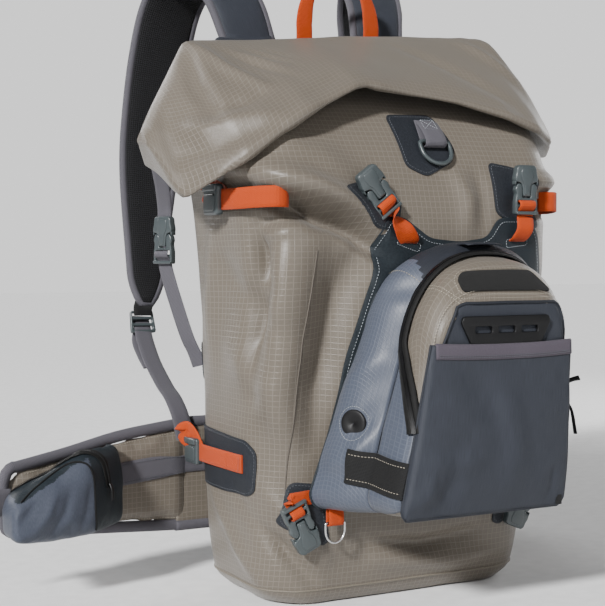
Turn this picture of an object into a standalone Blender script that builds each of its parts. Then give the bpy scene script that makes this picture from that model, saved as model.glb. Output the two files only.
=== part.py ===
"""Roll-top tackle backpack with a detachable chest pack and a padded hip belt.

Metres, +Z up. The base stands on z = 0, the front with the chest pack faces -Y, the
shoulder straps hang behind at +Y. Webbing, fabric and buckles are separate solids that
keep a small gap where they touch.
"""
import math

import bmesh
import bpy
from mathutils import Vector

# ---------------------------------------------------------------- driving dimensions
SKIN = 0.003              # coated fabric of the bag, doubled at the seams
BAG_SECTIONS = (          # height, half width, front y, rear y, corner radius
    (0.000, 0.136, -0.078, 0.072, 0.040),
    (0.014, 0.150, -0.088, 0.082, 0.046),
    (0.100, 0.160, -0.100, 0.085, 0.055),
    (0.200, 0.164, -0.112, 0.085, 0.060),
    (0.300, 0.168, -0.122, 0.085, 0.060),
    (0.370, 0.174, -0.120, 0.085, 0.060),
    (0.425, 0.182, -0.108, 0.085, 0.055),
    (0.470, 0.183, -0.078, 0.084, 0.050),
    (0.505, 0.168, -0.036, 0.080, 0.045),
    (0.540, 0.160, 0.018, 0.076, 0.026),
)
WEB = 0.020               # webbing width
WEB_THICK = 0.0016
ROLL_STATIONS = (         # x, ridge y, ridge z, front edge y, front edge z, rear y, rear z
    (0.000, 0.060, 0.588, -0.078, 0.505, 0.094, 0.548),
    (0.060, 0.060, 0.588, -0.086, 0.497, 0.094, 0.546),
    (0.120, 0.059, 0.587, -0.098, 0.482, 0.094, 0.542),
    (0.160, 0.057, 0.583, -0.102, 0.466, 0.094, 0.530),
    (0.198, 0.052, 0.568, -0.092, 0.432, 0.088, 0.496),
    (0.222, 0.036, 0.530, -0.050, 0.404, 0.056, 0.440),
    (0.243, 0.014, 0.470, -0.020, 0.400, 0.024, 0.415),
)
ROLL_THICK = 0.016        # the rolled edge
COLLAR_TOP = 0.540
COLLAR_BOTTOM = 0.430
PACK_REAR_FOOT = -0.1092  # rear plane of the chest pack at its bottom edge
PACK_REAR_SLOPE = -0.090
PACK_BOTTOM = 0.100
PACK_LEAN = 0.13          # the loaded pack hangs with its top a little to the right
ZIP_Y = -0.172
PACK_FRONT = -0.2165
RIM_GAP = 0.0005
BUCKLE_THICK = 0.008
CLIP_TRAVEL = 0.016
STRAP_CENTRE = 0.0125     # middle between the shoulder straps
PAD_THICK = 0.014
WING_THICK = 0.012
WING_PIVOT = (-0.150, 0.100)

# ---------------------------------------------------------------- scene
for old in list(bpy.data.objects):
    bpy.data.objects.remove(old, do_unlink=True)
PARTS = bpy.data.collections.new("tackle_backpack")
bpy.context.scene.collection.children.link(PARTS)


def material(name, color, roughness, metallic=0.0):
    """A plain Principled material in the part's colour."""
    mat = bpy.data.materials.new(name)
    mat.use_nodes = True
    shader = mat.node_tree.nodes["Principled BSDF"]
    shader.inputs["Base Color"].default_value = (*color, 1.0)
    shader.inputs["Roughness"].default_value = roughness
    shader.inputs["Metallic"].default_value = metallic
    return mat


KHAKI = ("ripstop_khaki", (0.30, 0.26, 0.20), 0.55)
SLATE = ("pack_slate", (0.13, 0.15, 0.19), 0.65)
TEAL = ("trim_teal", (0.055, 0.075, 0.09), 0.65)
ORANGE = ("webbing_orange", (0.75, 0.17, 0.035), 0.75)
GREY_WEB = ("webbing_grey", (0.20, 0.19, 0.22), 0.8)
MESH = ("mesh_black", (0.03, 0.03, 0.033), 0.9)
PLASTIC = ("buckle_plastic", (0.10, 0.12, 0.125), 0.4)
RUBBER = ("rubber_black", (0.012, 0.012, 0.013), 0.6)
ZIP = ("zip_black", (0.015, 0.015, 0.016), 0.5)
SHEET = ("frame_plastic", (0.05, 0.05, 0.05), 0.5)
STEEL = ("ring_steel", (0.7, 0.7, 0.7), 0.25, 1.0)


# ---------------------------------------------------------------- modelling helpers
def pivot(name, location):
    """An empty on a joint's axis."""
    empty = bpy.data.objects.new(name, None)
    empty.empty_display_size = 0.02
    empty.location = location
    PARTS.objects.link(empty)
    return empty


def add(name, mesh_source, look, axis=None, smooth=True):
    """Put a bmesh into the collection as one named object, hung on its joint's empty."""
    bm = mesh_source
    bmesh.ops.recalc_face_normals(bm, faces=bm.faces)
    if axis is not None:
        bmesh.ops.translate(bm, verts=bm.verts, vec=-axis.location)
    mesh = bpy.data.meshes.new(name)
    bm.to_mesh(mesh)
    bm.free()
    if smooth:
        mesh.shade_smooth()
        mesh.set_sharp_from_angle(angle=math.radians(35))
    mesh.materials.append(material(name + "_mat", *look[1:]))
    obj = bpy.data.objects.new(name, mesh)
    PARTS.objects.link(obj)
    obj.parent = axis
    return obj


def solidify(obj, thickness, offset=-1.0):
    """Turn an open surface into a closed skin; a closed form's skin grows inwards."""
    mod = obj.modifiers.new("skin", "SOLIDIFY")
    mod.thickness = thickness
    mod.offset = offset
    mod.use_even_offset = offset < 0
    return obj


def bevel(obj, width, segments=1):
    mod = obj.modifiers.new("edges", "BEVEL")
    mod.width = width
    mod.segments = segments
    mod.limit_method = "ANGLE"
    mod.angle_limit = math.radians(40)
    return obj


def mix(a, b, t):
    return a + (b - a) * t


def along(table, key, column):
    """Read one column of a table at a key value, straight between its rows."""
    if key <= table[0][0]:
        return table[0][column]
    for low, high in zip(table, table[1:]):
        if key <= high[0]:
            return mix(low[column], high[column], (key - low[0]) / (high[0] - low[0]))
    return table[-1][column]


def smooth_path(points, steps):
    """Points of a smooth curve that passes through the given ones."""
    pts = [Vector(p) for p in points]
    ends = [2 * pts[0] - pts[1]] + pts + [2 * pts[-1] - pts[-2]]
    path = []
    for i in range(1, len(ends) - 2):
        p0, p1, p2, p3 = ends[i - 1:i + 3]
        for k in range(steps):
            t = k / steps
            a = 2 * p1 + (p2 - p0) * t
            b = (2 * p0 - 5 * p1 + 4 * p2 - p3) * t * t
            c = (3 * p1 - p0 - 3 * p2 + p3) * t ** 3
            path.append((a + b + c) / 2)
    return path + [pts[-1]]


def loft(rings, close_first=False, close_last=False):
    """Skin a row of closed rings that have the same number of points."""
    bm = bmesh.new()
    rows = [[bm.verts.new(p) for p in ring] for ring in rings]
    count = len(rows[0])
    for low, high in zip(rows, rows[1:]):
        for i in range(count):
            j = (i + 1) % count
            bm.faces.new((low[i], low[j], high[j], high[i]))
    if close_first:
        bm.faces.new(rows[0])
    if close_last:
        bm.faces.new(rows[-1])
    return bm


def band(path, across, widths):
    """An open strip along a path; across is one direction or one for each point."""
    bm = bmesh.new()
    rows = []
    for i, p in enumerate(path):
        side = Vector(across[i] if isinstance(across, list) else across).normalized()
        half = (widths[i] if isinstance(widths, list) else widths) / 2
        rows.append((bm.verts.new(Vector(p) - side * half), bm.verts.new(Vector(p) + side * half)))
    for a, b in zip(rows, rows[1:]):
        bm.faces.new((a[0], a[1], b[1], b[0]))
    return bm


def webbing(name, path, across, look, axis=None, width=WEB, thick=WEB_THICK):
    return solidify(add(name, band(path, across, width), look, axis), thick, 0.0)


def box(centre, size):
    bm = bmesh.new()
    bmesh.ops.create_cube(bm, size=1.0)
    bmesh.ops.scale(bm, verts=bm.verts, vec=size)
    bmesh.ops.translate(bm, verts=bm.verts, vec=centre)
    return bm


def outline_plate(points, origin, across, along_dir):
    """A flat face with the given outline, in the plane of two directions."""
    bm = bmesh.new()
    u, v = Vector(across), Vector(along_dir)
    bm.faces.new([bm.verts.new(Vector(origin) + u * a + v * b) for a, b in points])
    return bm


def draped_plate(points, depth, cuts_x, cuts_z):
    """A flat outline (x, z) laid on a surface y = depth(x, z), cut where the surface bends."""
    bm = bmesh.new()
    bm.faces.new([bm.verts.new((x, 0.0, z)) for x, z in points])
    for axis, cuts in ((0, cuts_x), (2, cuts_z)):
        for cut in cuts:
            place, normal = Vector(), Vector()
            place[axis] = cut
            normal[axis] = 1.0
            bmesh.ops.bisect_plane(bm, geom=bm.verts[:] + bm.edges[:] + bm.faces[:],
                                   plane_co=place, plane_no=normal)
    for vert in bm.verts:
        vert.co.y = depth(vert.co.x, vert.co.z)
    bmesh.ops.triangulate(bm, faces=bm.faces)
    return bm


def wire(name, points, radius, look, axis=None, cyclic=False, sides=2):
    """A bent wire: a poly curve with a round bevel, made a mesh with welded caps."""
    curve = bpy.data.curves.new(name, "CURVE")
    curve.dimensions = "3D"
    curve.bevel_depth = radius
    curve.bevel_resolution = sides
    curve.use_fill_caps = not cyclic
    spline = curve.splines.new("POLY")
    spline.points.add(len(points) - 1)
    for point, place in zip(spline.points, points):
        point.co = (*place, 1.0)
    spline.use_cyclic_u = cyclic
    guide = bpy.data.objects.new(name + "_guide", curve)
    PARTS.objects.link(guide)
    graph = bpy.context.evaluated_depsgraph_get()
    mesh = bpy.data.meshes.new_from_object(guide.evaluated_get(graph))
    bm = bmesh.new()
    bm.from_mesh(mesh)
    bmesh.ops.remove_doubles(bm, verts=bm.verts, dist=0.00001)
    bpy.data.objects.remove(guide, do_unlink=True)
    return add(name, bm, look, axis)


# ---------------------------------------------------------------- shape of the bag
def rounded_ring(z, half, front, rear, corner, grow=0.0, arc=5):
    """A rounded rectangle at one height, from the front left corner, counterclockwise."""
    ring = []
    half, front, rear, corner = half + grow, front - grow, rear + grow, corner + grow
    for cx, cy, start in ((-half + corner, front + corner, 180), (half - corner, front + corner, 270),
                          (half - corner, rear - corner, 0), (-half + corner, rear - corner, 90)):
        for i in range(arc + 1):
            a = math.radians(start + 90 * i / arc)
            ring.append(Vector((cx + corner * math.cos(a), cy + corner * math.sin(a), z)))
    return ring


def bag_ring(z, grow=0.0, arc=5):
    values = [along(BAG_SECTIONS, z, column) for column in range(1, 5)]
    return rounded_ring(z, *values, grow=grow, arc=arc)


def build_bag():
    rings = [bag_ring(section[0]) for section in BAG_SECTIONS]
    solidify(add("main_body", loft(rings, close_first=True), KHAKI), SKIN)
    sheet = add("frame_sheet", box((0, 0.0770, 0.245), (0.20, 0.002, 0.39)), SHEET)
    bevel(sheet, 0.0006)
    pad_outline = [(-0.105, 0.05), (0.105, 0.05), (0.118, 0.20), (0.112, 0.40), (0.100, 0.543),
                   (-0.100, 0.543), (-0.112, 0.40), (-0.118, 0.20)]
    panel = outline_plate(pad_outline, (0, 0.0905, 0), (1, 0, 0), (0, 0, 1))
    bevel(solidify(add("back_panel", panel, MESH), 0.0095, 0.0), 0.003)
    yoke_outline = [(-0.125, 0.515), (0.150, 0.515), (0.150, 0.572), (-0.125, 0.572)]
    yoke = outline_plate(yoke_outline, (0, 0.0990, 0), (1, 0, 0), (0, 0, 1))
    bevel(solidify(add("shoulder_yoke", yoke, SLATE), 0.005, 0.0), 0.0015)


# ---------------------------------------------------------------- roll-top closure
def roll_section(x, ridge_y, ridge_z, front_y, front_z, rear_y, rear_z, hollow):
    """One slice of the rolled hood: an inverted V over the neck, or solid at the ends."""
    mid_y, mid_z = mix(ridge_y, front_y, 0.5) - 0.007, mix(ridge_z, front_z, 0.5) + 0.008
    slab = ROLL_THICK * 0.5
    if hollow:
        apex = (ridge_y - 0.018, ridge_z - 0.021)
        inner_rear = (rear_y - 0.007, rear_z)
        inner_front = (front_y + ROLL_THICK, front_z + 0.004)
    else:
        inner_front = (mix(front_y, rear_y, 0.3), mix(front_z, rear_z, 0.3) + 0.001)
        inner_rear = (mix(front_y, rear_y, 0.8), mix(front_z, rear_z, 0.8) + 0.001)
        apex = (mix(front_y, rear_y, 0.55), mix(front_z, rear_z, 0.55) + 0.002)
    return [Vector((x, y, z)) for y, z in (
        (rear_y, rear_z), (ridge_y + 0.016, ridge_z - 0.010), (ridge_y, ridge_z),
        (ridge_y - 0.018, ridge_z - 0.004), (mid_y, mid_z), (front_y - 0.001, front_z + slab),
        (front_y + 0.003, front_z - 0.001), inner_front, apex, inner_rear)]


def build_roll():
    axis = pivot("closure_axis", (0, 0.05, COLLAR_TOP))
    stations = [(-s[0],) + s[1:] for s in reversed(ROLL_STATIONS[1:])] + list(ROLL_STATIONS)
    rings = [roll_section(*s, hollow=abs(s[0]) < 0.20) for s in stations]
    add("roll_top", loft(rings, True, True), KHAKI, axis)
    collar = [rounded_ring(z, 0.152, 0.026, 0.054, 0.012, arc=3) for z in (COLLAR_BOTTOM, COLLAR_TOP)]
    solidify(add("closure_collar", loft(collar), KHAKI, axis), 0.0015)
    for side, name in ((-1, "left"), (1, "right")):
        mouth = (side * 0.186, 0.092, 0.352)
        socket("roll_buckle_" + name, mouth, (0, 0, -1), (0.35 * side, 0.94, 0), axis)
        upper = [(side * 0.186, 0.092, 0.3810), (side * 0.192, 0.080, 0.405), (side * 0.204, 0.062, 0.428),
                 (side * 0.214, 0.048, 0.4335)]
        webbing("roll_strap_" + name, smooth_path(upper, 3), (0.35 * side, 0.94, 0), GREY_WEB, axis)
        clip_axis = pivot("roll_clip_axis_" + name, mouth)
        clip("roll_clip_" + name, mouth, (0, 0, -1), (0.35 * side, 0.94, 0), clip_axis)


# ---------------------------------------------------------------- side-release buckles
SOCKET_OUTLINE = [(-0.014, -0.028), (0.014, -0.028), (0.014, -0.010), (0.0045, -0.010),
                  (0.0045, 0.004), (-0.0045, 0.004), (-0.0045, -0.010), (-0.014, -0.010)]
CLIP_OUTLINE = [(-0.0135, -0.0095), (-0.005, -0.0095), (-0.005, 0.0045), (0.005, 0.0045),
                (0.005, -0.0095), (0.0135, -0.0095), (0.0135, 0.022), (-0.0135, 0.022)]


def buckle_half(name, outline, mouth, direction, across, axis):
    """One half of a buckle; the outline runs across the strap and along its direction."""
    plate = outline_plate(outline, mouth, Vector(across).normalized(), Vector(direction).normalized())
    half = add(name, plate, PLASTIC, axis)
    return bevel(solidify(half, BUCKLE_THICK, 0.0), 0.001)


def socket(name, mouth, direction, across, axis=None):
    return buckle_half(name, SOCKET_OUTLINE, mouth, direction, across, axis)


def clip(name, mouth, direction, across, axis=None):
    return buckle_half(name, CLIP_OUTLINE, mouth, direction, across, axis)


# name, mouth of the socket, direction of the clip, strap's end on the chest pack
CHEST_BUCKLES = (
    ("upper_left", (-0.060, -0.130, 0.398), (0.60, 0, -0.80), (-0.026, -0.1290, 0.351)),
    ("upper_right", (0.112, -0.130, 0.402), (0.00, 0, -1.00), (0.106, -0.1290, 0.354)),
    ("lower_left", (-0.130, -0.1035, 0.085), (-0.40, 0, 0.917), (-0.100, -0.1045, 0.112)),
    ("lower_right", (0.130, -0.1035, 0.085), (0.40, 0, 0.917), (0.100, -0.1045, 0.112)),
)
CLIP_END = 0.0226         # from the mouth to the strap, along the clip


# ---------------------------------------------------------------- chest pack
def lean(z):
    return PACK_LEAN * (z - PACK_BOTTOM)


def arch_outline(bottom, shoulder, top, half_bottom, half_top, power, corner=0.018, arc=3, crown=9):
    """Outline (x, z) with rounded bottom corners, tapering sides and an arched top."""
    right = [(0.0, bottom)]
    for i in range(arc + 1):
        a = math.radians(-90 + 90 * i / arc)
        right.append((half_bottom - corner + corner * math.cos(a), bottom + corner + corner * math.sin(a)))
    right.append((mix(half_bottom, half_top, 0.5) + 0.002, mix(bottom, shoulder, 0.55)))
    for i in range(crown):
        a = math.pi / 2 * i / crown
        x = half_top * math.cos(a) ** (2 / power)
        right.append((x, shoulder + (top - shoulder) * math.sin(a) ** (2 / power)))
    left = [(-x, z) for x, z in reversed(right[1:])]
    return right + [(0.0, top)] + left


def pack_ring(depth, *shape):
    """The outline at a depth, leaning with the pack."""
    return [Vector((x + lean(z), depth(z) if callable(depth) else depth, z)) for x, z in arch_outline(*shape)]


def pack_rear(z):
    return PACK_REAR_FOOT + PACK_REAR_SLOPE * (z - PACK_BOTTOM)


RIM = (0.104, 0.245, 0.340, 0.100, 0.080, 2.4)
HARNESS_PROFILE = (       # height, y of the harness panel's middle plane
    (0.128, -0.1065),
    (0.300, -0.1251),
    (0.377, -0.1226),
)


def build_chest_pack():
    axis = pivot("chest_pack_axis", (0, pack_rear(0.22), 0.22))
    ears = [(-0.110, 0.128), (0.112, 0.128), (0.138, 0.250), (0.141, 0.318), (0.135, 0.366), (0.122, 0.377),
            (0.086, 0.377), (0.072, 0.356), (0.000, 0.356), (-0.030, 0.377), (-0.056, 0.372),
            (-0.066, 0.318), (-0.086, 0.250)]
    harness = draped_plate(ears, lambda x, z: along(HARNESS_PROFILE, z, 1), (), (HARNESS_PROFILE[1][0],))
    solidify(add("harness_panel", harness, TEAL, axis), 0.003, 0.0)
    rear = pack_ring(pack_rear, PACK_BOTTOM, 0.270, 0.345, 0.126, 0.094, 2.4)
    tray = loft([rear, pack_ring(ZIP_Y, *RIM)], close_first=True)
    solidify(add("chest_body", tray, SLATE, axis), 0.0025)
    normal = Vector((-0.92, -0.385, 0.05)).normalized()
    disc = bmesh.new()
    bmesh.ops.create_cone(disc, cap_ends=True, segments=24, radius1=0.0135, radius2=0.0125, depth=0.003)
    bmesh.ops.rotate(disc, verts=disc.verts, matrix=normal.to_track_quat("Z", "Y").to_matrix())
    bmesh.ops.translate(disc, verts=disc.verts, vec=Vector((-0.0925, -0.1445, 0.184)) + normal * 0.0042)
    add("magnet_disc", disc, RUBBER, axis)
    for name, mouth, direction, end in CHEST_BUCKLES:
        ahead = Vector(direction).normalized()
        across = ahead.cross(Vector((0, -1, 0)))
        socket("socket_" + name, mouth, ahead, across)
        clip_axis = pivot("clip_axis_" + name, mouth)
        clip("clip_" + name, mouth, ahead, across, clip_axis)
        start = Vector(mouth) + ahead * CLIP_END
        if name.startswith("lower"):
            side = math.copysign(1, direction[0])
            start = Vector((side * 0.1193, end[1], 0.110))
            path = smooth_path([start, (mix(start.x, end[0], 0.5), end[1], 0.1115), end], 3)
            across = (0, 0, 1)
        else:
            bulge = mix(start, Vector(end), 0.5) + Vector((0, -0.004, 0))
            path = smooth_path([start, bulge, end], 3)
        webbing("pack_strap_" + name, path, across, ORANGE, axis)
    build_key_ring(axis)
    build_front_panel()


def d_ring(name, bar, down, half, drop, radius, look, axis):
    """A D-shaped wire ring with its straight bar at the top."""
    outline = [(-half, 0.0), (half, 0.0), (half, drop * 0.25)]
    outline += [(half * math.cos(a), drop * 0.4 + drop * 0.6 * math.sin(a))
                for a in (math.pi * i / 10 for i in range(11))]
    outline += [(-half, drop * 0.25)]
    places = [Vector(bar) + Vector((x, 0, 0)) + Vector(down) * z for x, z in outline]
    wire(name, places, radius, look, axis, cyclic=True)


def build_key_ring(pack_axis):
    """A folded webbing loop under the pack's corner with a steel D-ring in it."""
    x, y, z = -0.098, -0.1135, 0.0865
    loop = [(x, y + 0.0030, 0.0985), (x, y + 0.0030, z), (x, y + 0.0021, z - 0.0021), (x, y, z - 0.003),
            (x, y - 0.0021, z - 0.0021), (x, y - 0.003, z), (x, y - 0.0024, 0.0985)]
    webbing("ring_loop", loop, (1, 0, 0), ORANGE, pack_axis, 0.014, 0.0010)
    axis = pivot("key_ring_axis", (x, y, z))
    d_ring("key_ring", (x, y, z), (0, 0, -1), 0.0105, 0.020, 0.0009, STEEL, axis)


def build_front_panel():
    """The zip-open lid of the chest pack with its patch, tool dock and stretch pocket."""
    axis = pivot("front_panel_axis", (lean(RIM[0]), ZIP_Y, RIM[0]))
    rings = [pack_ring(ZIP_Y - RIM_GAP, *RIM),
             pack_ring(-0.196, 0.105, 0.242, 0.333, 0.098, 0.080, 2.6),
             pack_ring(PACK_FRONT, 0.110, 0.238, 0.298, 0.092, 0.070, 4.0)]
    solidify(add("front_panel", loft(rings, close_last=True), KHAKI, axis), 0.0025)
    middle = Vector((lean(0.315), -0.2085, 0.3170))
    slope = Vector((0, -0.863, 0.505))
    up = Vector((0, 0.505, 0.863))
    patch = [(-0.050, -0.011), (0.050, -0.011), (0.047, 0.002), (0.036, 0.011), (-0.040, 0.011), (-0.049, 0.004)]
    foam = outline_plate(patch, middle + slope * 0.0015, (1, 0, 0), up)
    solidify(add("fly_patch", foam, MESH, axis), 0.003, 0.0)
    dock = [(-0.052, 0.2850), (0.052, 0.2850), (0.050, 0.2780), (0.036, 0.2530), (-0.036, 0.2530), (-0.050, 0.2780)]
    dock = [(x + lean(0.27), z) for x, z in dock]
    bm = outline_plate(dock, (0, PACK_FRONT - 0.0022, 0), (1, 0, 0), (0, 0, 1))
    solidify(add("tool_dock", bm, RUBBER, axis), 0.003, 0.0)
    low, high = 0.106, 0.2575
    side = [(0.086, low), (0.095, 0.112), (0.096, 0.130), (0.078, high)]
    outline = [(x + lean(z), z) for x, z in side] + [(-x + lean(z), z) for x, z in reversed(side)]

    def bulge(x, z):
        t = min(1.0, max(0.0, (z - low) / (high - low)))
        half = mix(0.098, 0.079, t)
        across = max(0.0, 1.0 - ((x - lean(z)) / half) ** 2)
        return PACK_FRONT - 0.0010 - 0.0095 * across ** 0.5 * math.sin(math.pi / 2 * min(1.0, 3.0 * t)) - 0.001

    pocket = draped_plate(outline, bulge, [0.017 * k for k in range(-5, 7)],
                          [low + 0.017 * k for k in range(1, 9)])
    solidify(add("front_pocket", pocket, SLATE, axis), 0.0016, 0.0)
    slider_axis = pivot("zip_slider_axis", (0.104, ZIP_Y, 0.205))
    slider = add("zip_slider", box((0.1085, ZIP_Y, 0.205), (0.005, 0.010, 0.013)), ZIP, slider_axis)
    bevel(slider, 0.0015, 2)


# ---------------------------------------------------------------- compression straps
def build_side_straps():
    for side, name in ((-1, "left"), (1, "right")):
        low = [(side * 0.1632, -0.035, 0.138), (side * 0.1638, -0.012, 0.138),
               (side * 0.1640, 0.015, 0.138), (side * 0.1640, 0.0395, 0.138)]
        webbing("low_strap_" + name, smooth_path(low, 2), (0, 0, 1), ORANGE)
        lock = box((side * 0.1655, 0.0560, 0.138), (0.010, 0.030, 0.030))
        bevel(add("low_lock_" + name, lock, PLASTIC), 0.0025)
        high = [(side * 0.132, -0.1245, 0.397), (side * 0.160, -0.1150, 0.396), (side * 0.178, -0.090, 0.394),
                (side * 0.1875, -0.058, 0.393)]
        webbing("high_strap_" + name, smooth_path(high, 3), (0, 0, 1), ORANGE)
        lock = box((side * 0.1910, -0.039, 0.393), (0.010, 0.030, 0.030))
        bevel(add("high_lock_" + name, lock, PLASTIC), 0.0025)


# ---------------------------------------------------------------- D-ring and haul handle
def build_top_ring():
    """A webbing tab on the sloping top front, folded round the bar of a D-ring."""
    foot = Vector((0.022, -0.0924, 0.452))
    up, out = Vector((0, 0.5, 0.866)), Vector((0, -0.866, 0.5))
    route = [(0.024, 0.0018), (-0.004, 0.0018), (-0.0080, 0.0035), (-0.0092, 0.0065), (-0.0080, 0.0095),
             (-0.0040, 0.0112), (0.006, 0.0098), (0.020, 0.0050)]
    webbing("ring_tab", [foot + up * u + out * n for u, n in route], (1, 0, 0), GREY_WEB, None, 0.020, 0.0014)
    bar = foot + up * -0.0035 + out * 0.0065
    axis = pivot("top_ring_axis", bar)
    d_ring("top_d_ring", bar, -up, 0.0145, 0.026, 0.0021, PLASTIC, axis)


def build_haul_handle():
    left, right, y, fold = -0.013, 0.073, 0.1042, 0.598
    half = WEB / 2
    legs = [(left - half, 0.528), (right + half, 0.528), (right + half, fold - 0.0015), (right - half, fold - 0.0015),
            (right - half, 0.545), (left + half, 0.545), (left + half, fold - 0.0015), (left - half, fold - 0.0015)]
    base = outline_plate(legs, (0, y, 0), (1, 0, 0), (0, 0, 1))
    solidify(add("handle_anchor", base, ORANGE), 0.0025, 0.0)
    axis = pivot("haul_handle_axis", ((left + right) / 2, y, fold))
    middle = (left + right) / 2
    route = smooth_path([(left, y, fold + 0.0015), (left + 0.004, y, 0.620), (left + 0.016, y, 0.642),
                         (middle, y, 0.652), (right - 0.016, y, 0.642), (right - 0.004, y, 0.620),
                         (right, y, fold + 0.0015)], 3)
    rings = []
    last = len(route) - 1
    for i, p in enumerate(route):
        ahead = (route[min(i + 1, last)] - route[max(i - 1, 0)]).normalized()
        if i in (0, last):
            ahead = Vector((0, 0, 1 if i == 0 else -1))
        side = Vector((ahead.z, 0, -ahead.x))
        pinch = math.sin(math.pi * i / last) ** 0.5
        wide, deep = mix(half, 0.0055, pinch), mix(0.00125, 0.003, pinch)
        back = Vector((0, 1, 0))
        rings.append([p + side * wide + back * deep, p + side * wide - back * deep,
                      p - side * wide - back * deep, p - side * wide + back * deep])
    add("haul_handle", loft(rings, True, True), ORANGE, axis)


# ---------------------------------------------------------------- shoulder straps
def build_shoulder_straps():
    """Padded straps that loop back over the yoke and end in ladder locks and webbing."""
    for side, name in ((-1, "left"), (1, "right")):
        def place(x, y, z, s=side):
            return Vector((STRAP_CENTRE + s * x, y, z))
        axis = pivot("shoulder_axis_" + name, place(0.1780, 0.0872, 0.146))
        route = [place(0.0825, 0.126, 0.572), place(0.093, 0.150, 0.625), place(0.111, 0.193, 0.653),
                 place(0.128, 0.232, 0.628), place(0.141, 0.245, 0.560), place(0.155, 0.238, 0.460),
                 place(0.166, 0.222, 0.370), place(0.1745, 0.204, 0.285)]
        path = smooth_path(route, 3)
        count = len(path) - 1
        widths = [mix(0.060, 0.066, min(1, i / 4)) if i < count * 0.7 else
                  mix(0.066, 0.034, (i / count - 0.7) / 0.3) for i in range(count + 1)]
        across = [(1, 0.10 * side * i / count, 0) for i in range(count + 1)]
        pad = solidify(add("shoulder_pad_" + name, band(path, across, widths), MESH, axis), PAD_THICK, 0.0)
        bevel(pad, 0.004)
        lock = box(place(0.1815, 0.1985, 0.2640), (0.030, 0.007, 0.026))
        bevel(add("ladder_lock_" + name, lock, PLASTIC, axis), 0.0015)
        lower = [place(0.1825, 0.1940, 0.2500), place(0.1850, 0.160, 0.222), place(0.1850, 0.125, 0.1985),
                 place(0.1842, 0.1045, 0.187), place(0.1815, 0.0912, 0.169), place(0.1780, 0.0872, 0.146)]
        webbing("shoulder_webbing_" + name, smooth_path(lower, 3), (1, 0, 0), GREY_WEB, axis)


# ---------------------------------------------------------------- hip belt
def turn(point, degrees):
    """Swing a place about the belt wing's vertical axis."""
    a = math.radians(degrees)
    dx, dy = point[0] - WING_PIVOT[0], point[1] - WING_PIVOT[1]
    return Vector((WING_PIVOT[0] + dx * math.cos(a) - dy * math.sin(a),
                   WING_PIVOT[1] + dx * math.sin(a) + dy * math.cos(a), point[2]))


WING_ROUTE = ((-0.153, 0.100), (-0.190, 0.0985), (-0.240, 0.093), (-0.300, 0.084), (-0.365, 0.070))
WING_HEIGHTS = ((0.052, 0.162), (0.054, 0.158), (0.058, 0.152), (0.063, 0.140), (0.069, 0.130))


def build_belt():
    """The left wing lies open to the side, the right one is folded back behind the bag."""
    for side, name, fold in ((-1, "left", 0.0), (1, "right", -92.0)):
        def put(point, s=side, f=fold):
            p = turn(point, f)
            return Vector((-s * p.x, p.y, p.z))
        axis = pivot("belt_axis_" + name, put((*WING_PIVOT, 0.11)))
        bm = bmesh.new()
        rows = []
        for (x, y), (low, high) in zip(WING_ROUTE, WING_HEIGHTS):
            heights = [mix(low, high, k / 3) for k in range(4)]
            rows.append([bm.verts.new(put((x, y, z))) for z in heights])
        for a, b in zip(rows, rows[1:]):
            for k in range(3):
                bm.faces.new((a[k], a[k + 1], b[k + 1], b[k]))
        bevel(solidify(add("belt_wing_" + name, bm, KHAKI, axis), WING_THICK, 0.0), 0.004)
        rings = []
        for z, inset, slot in ((0.066, 0.008, 1.0), (0.072, 0.0, 1.0), (0.128, 0.0, 1.0),
                               (0.146, 0.006, 0.62), (0.150, 0.020, 0.26)):
            deep = 0.046 * slot
            ring = rounded_ring(z, 0.066 - inset, 0.0, deep, min(0.012, deep * 0.4), arc=3)
            shift = 0.046 * (1 - slot) * 0.5
            rings.append([put((-0.306 + p.x, 0.0278 + shift + p.y + 0.2 * p.x, p.z)) for p in ring])
        solidify(add("belt_pouch_" + name, loft(rings, close_first=True), SLATE, axis), 0.002)
        end = [put(p) for p in ((-0.372, 0.0680, 0.100), (-0.386, 0.0640, 0.100), (-0.398, 0.0600, 0.100))]
        webbing("belt_end_" + name, end, (0, 0, 1), GREY_WEB, axis, 0.025)
        kind = CLIP_OUTLINE if side < 0 else SOCKET_OUTLINE
        mouth = put((-0.4215, 0.0540, 0.100)) if side < 0 else put((-0.427, 0.0525, 0.100))
        ahead = put((-0.50, 0.0315, 0.1)) - mouth
        if side < 0:
            ahead = -ahead
        buckle_half("belt_clip" if side < 0 else "belt_socket", kind, mouth, ahead, (0, 0, 1), axis)


build_bag()
build_roll()
build_chest_pack()
build_side_straps()
build_top_ring()
build_haul_handle()
build_shoulder_straps()
build_belt()
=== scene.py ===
"""Looks of the roll-top tackle backpack: fabric, seams, padding, buckles, lights and camera.

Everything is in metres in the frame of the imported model. The front of the bag faces -Y.
"""
import math

import bmesh
import bpy
import numpy as np
from mathutils import Matrix, Vector, noise
from mathutils.bvhtree import BVHTree


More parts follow.
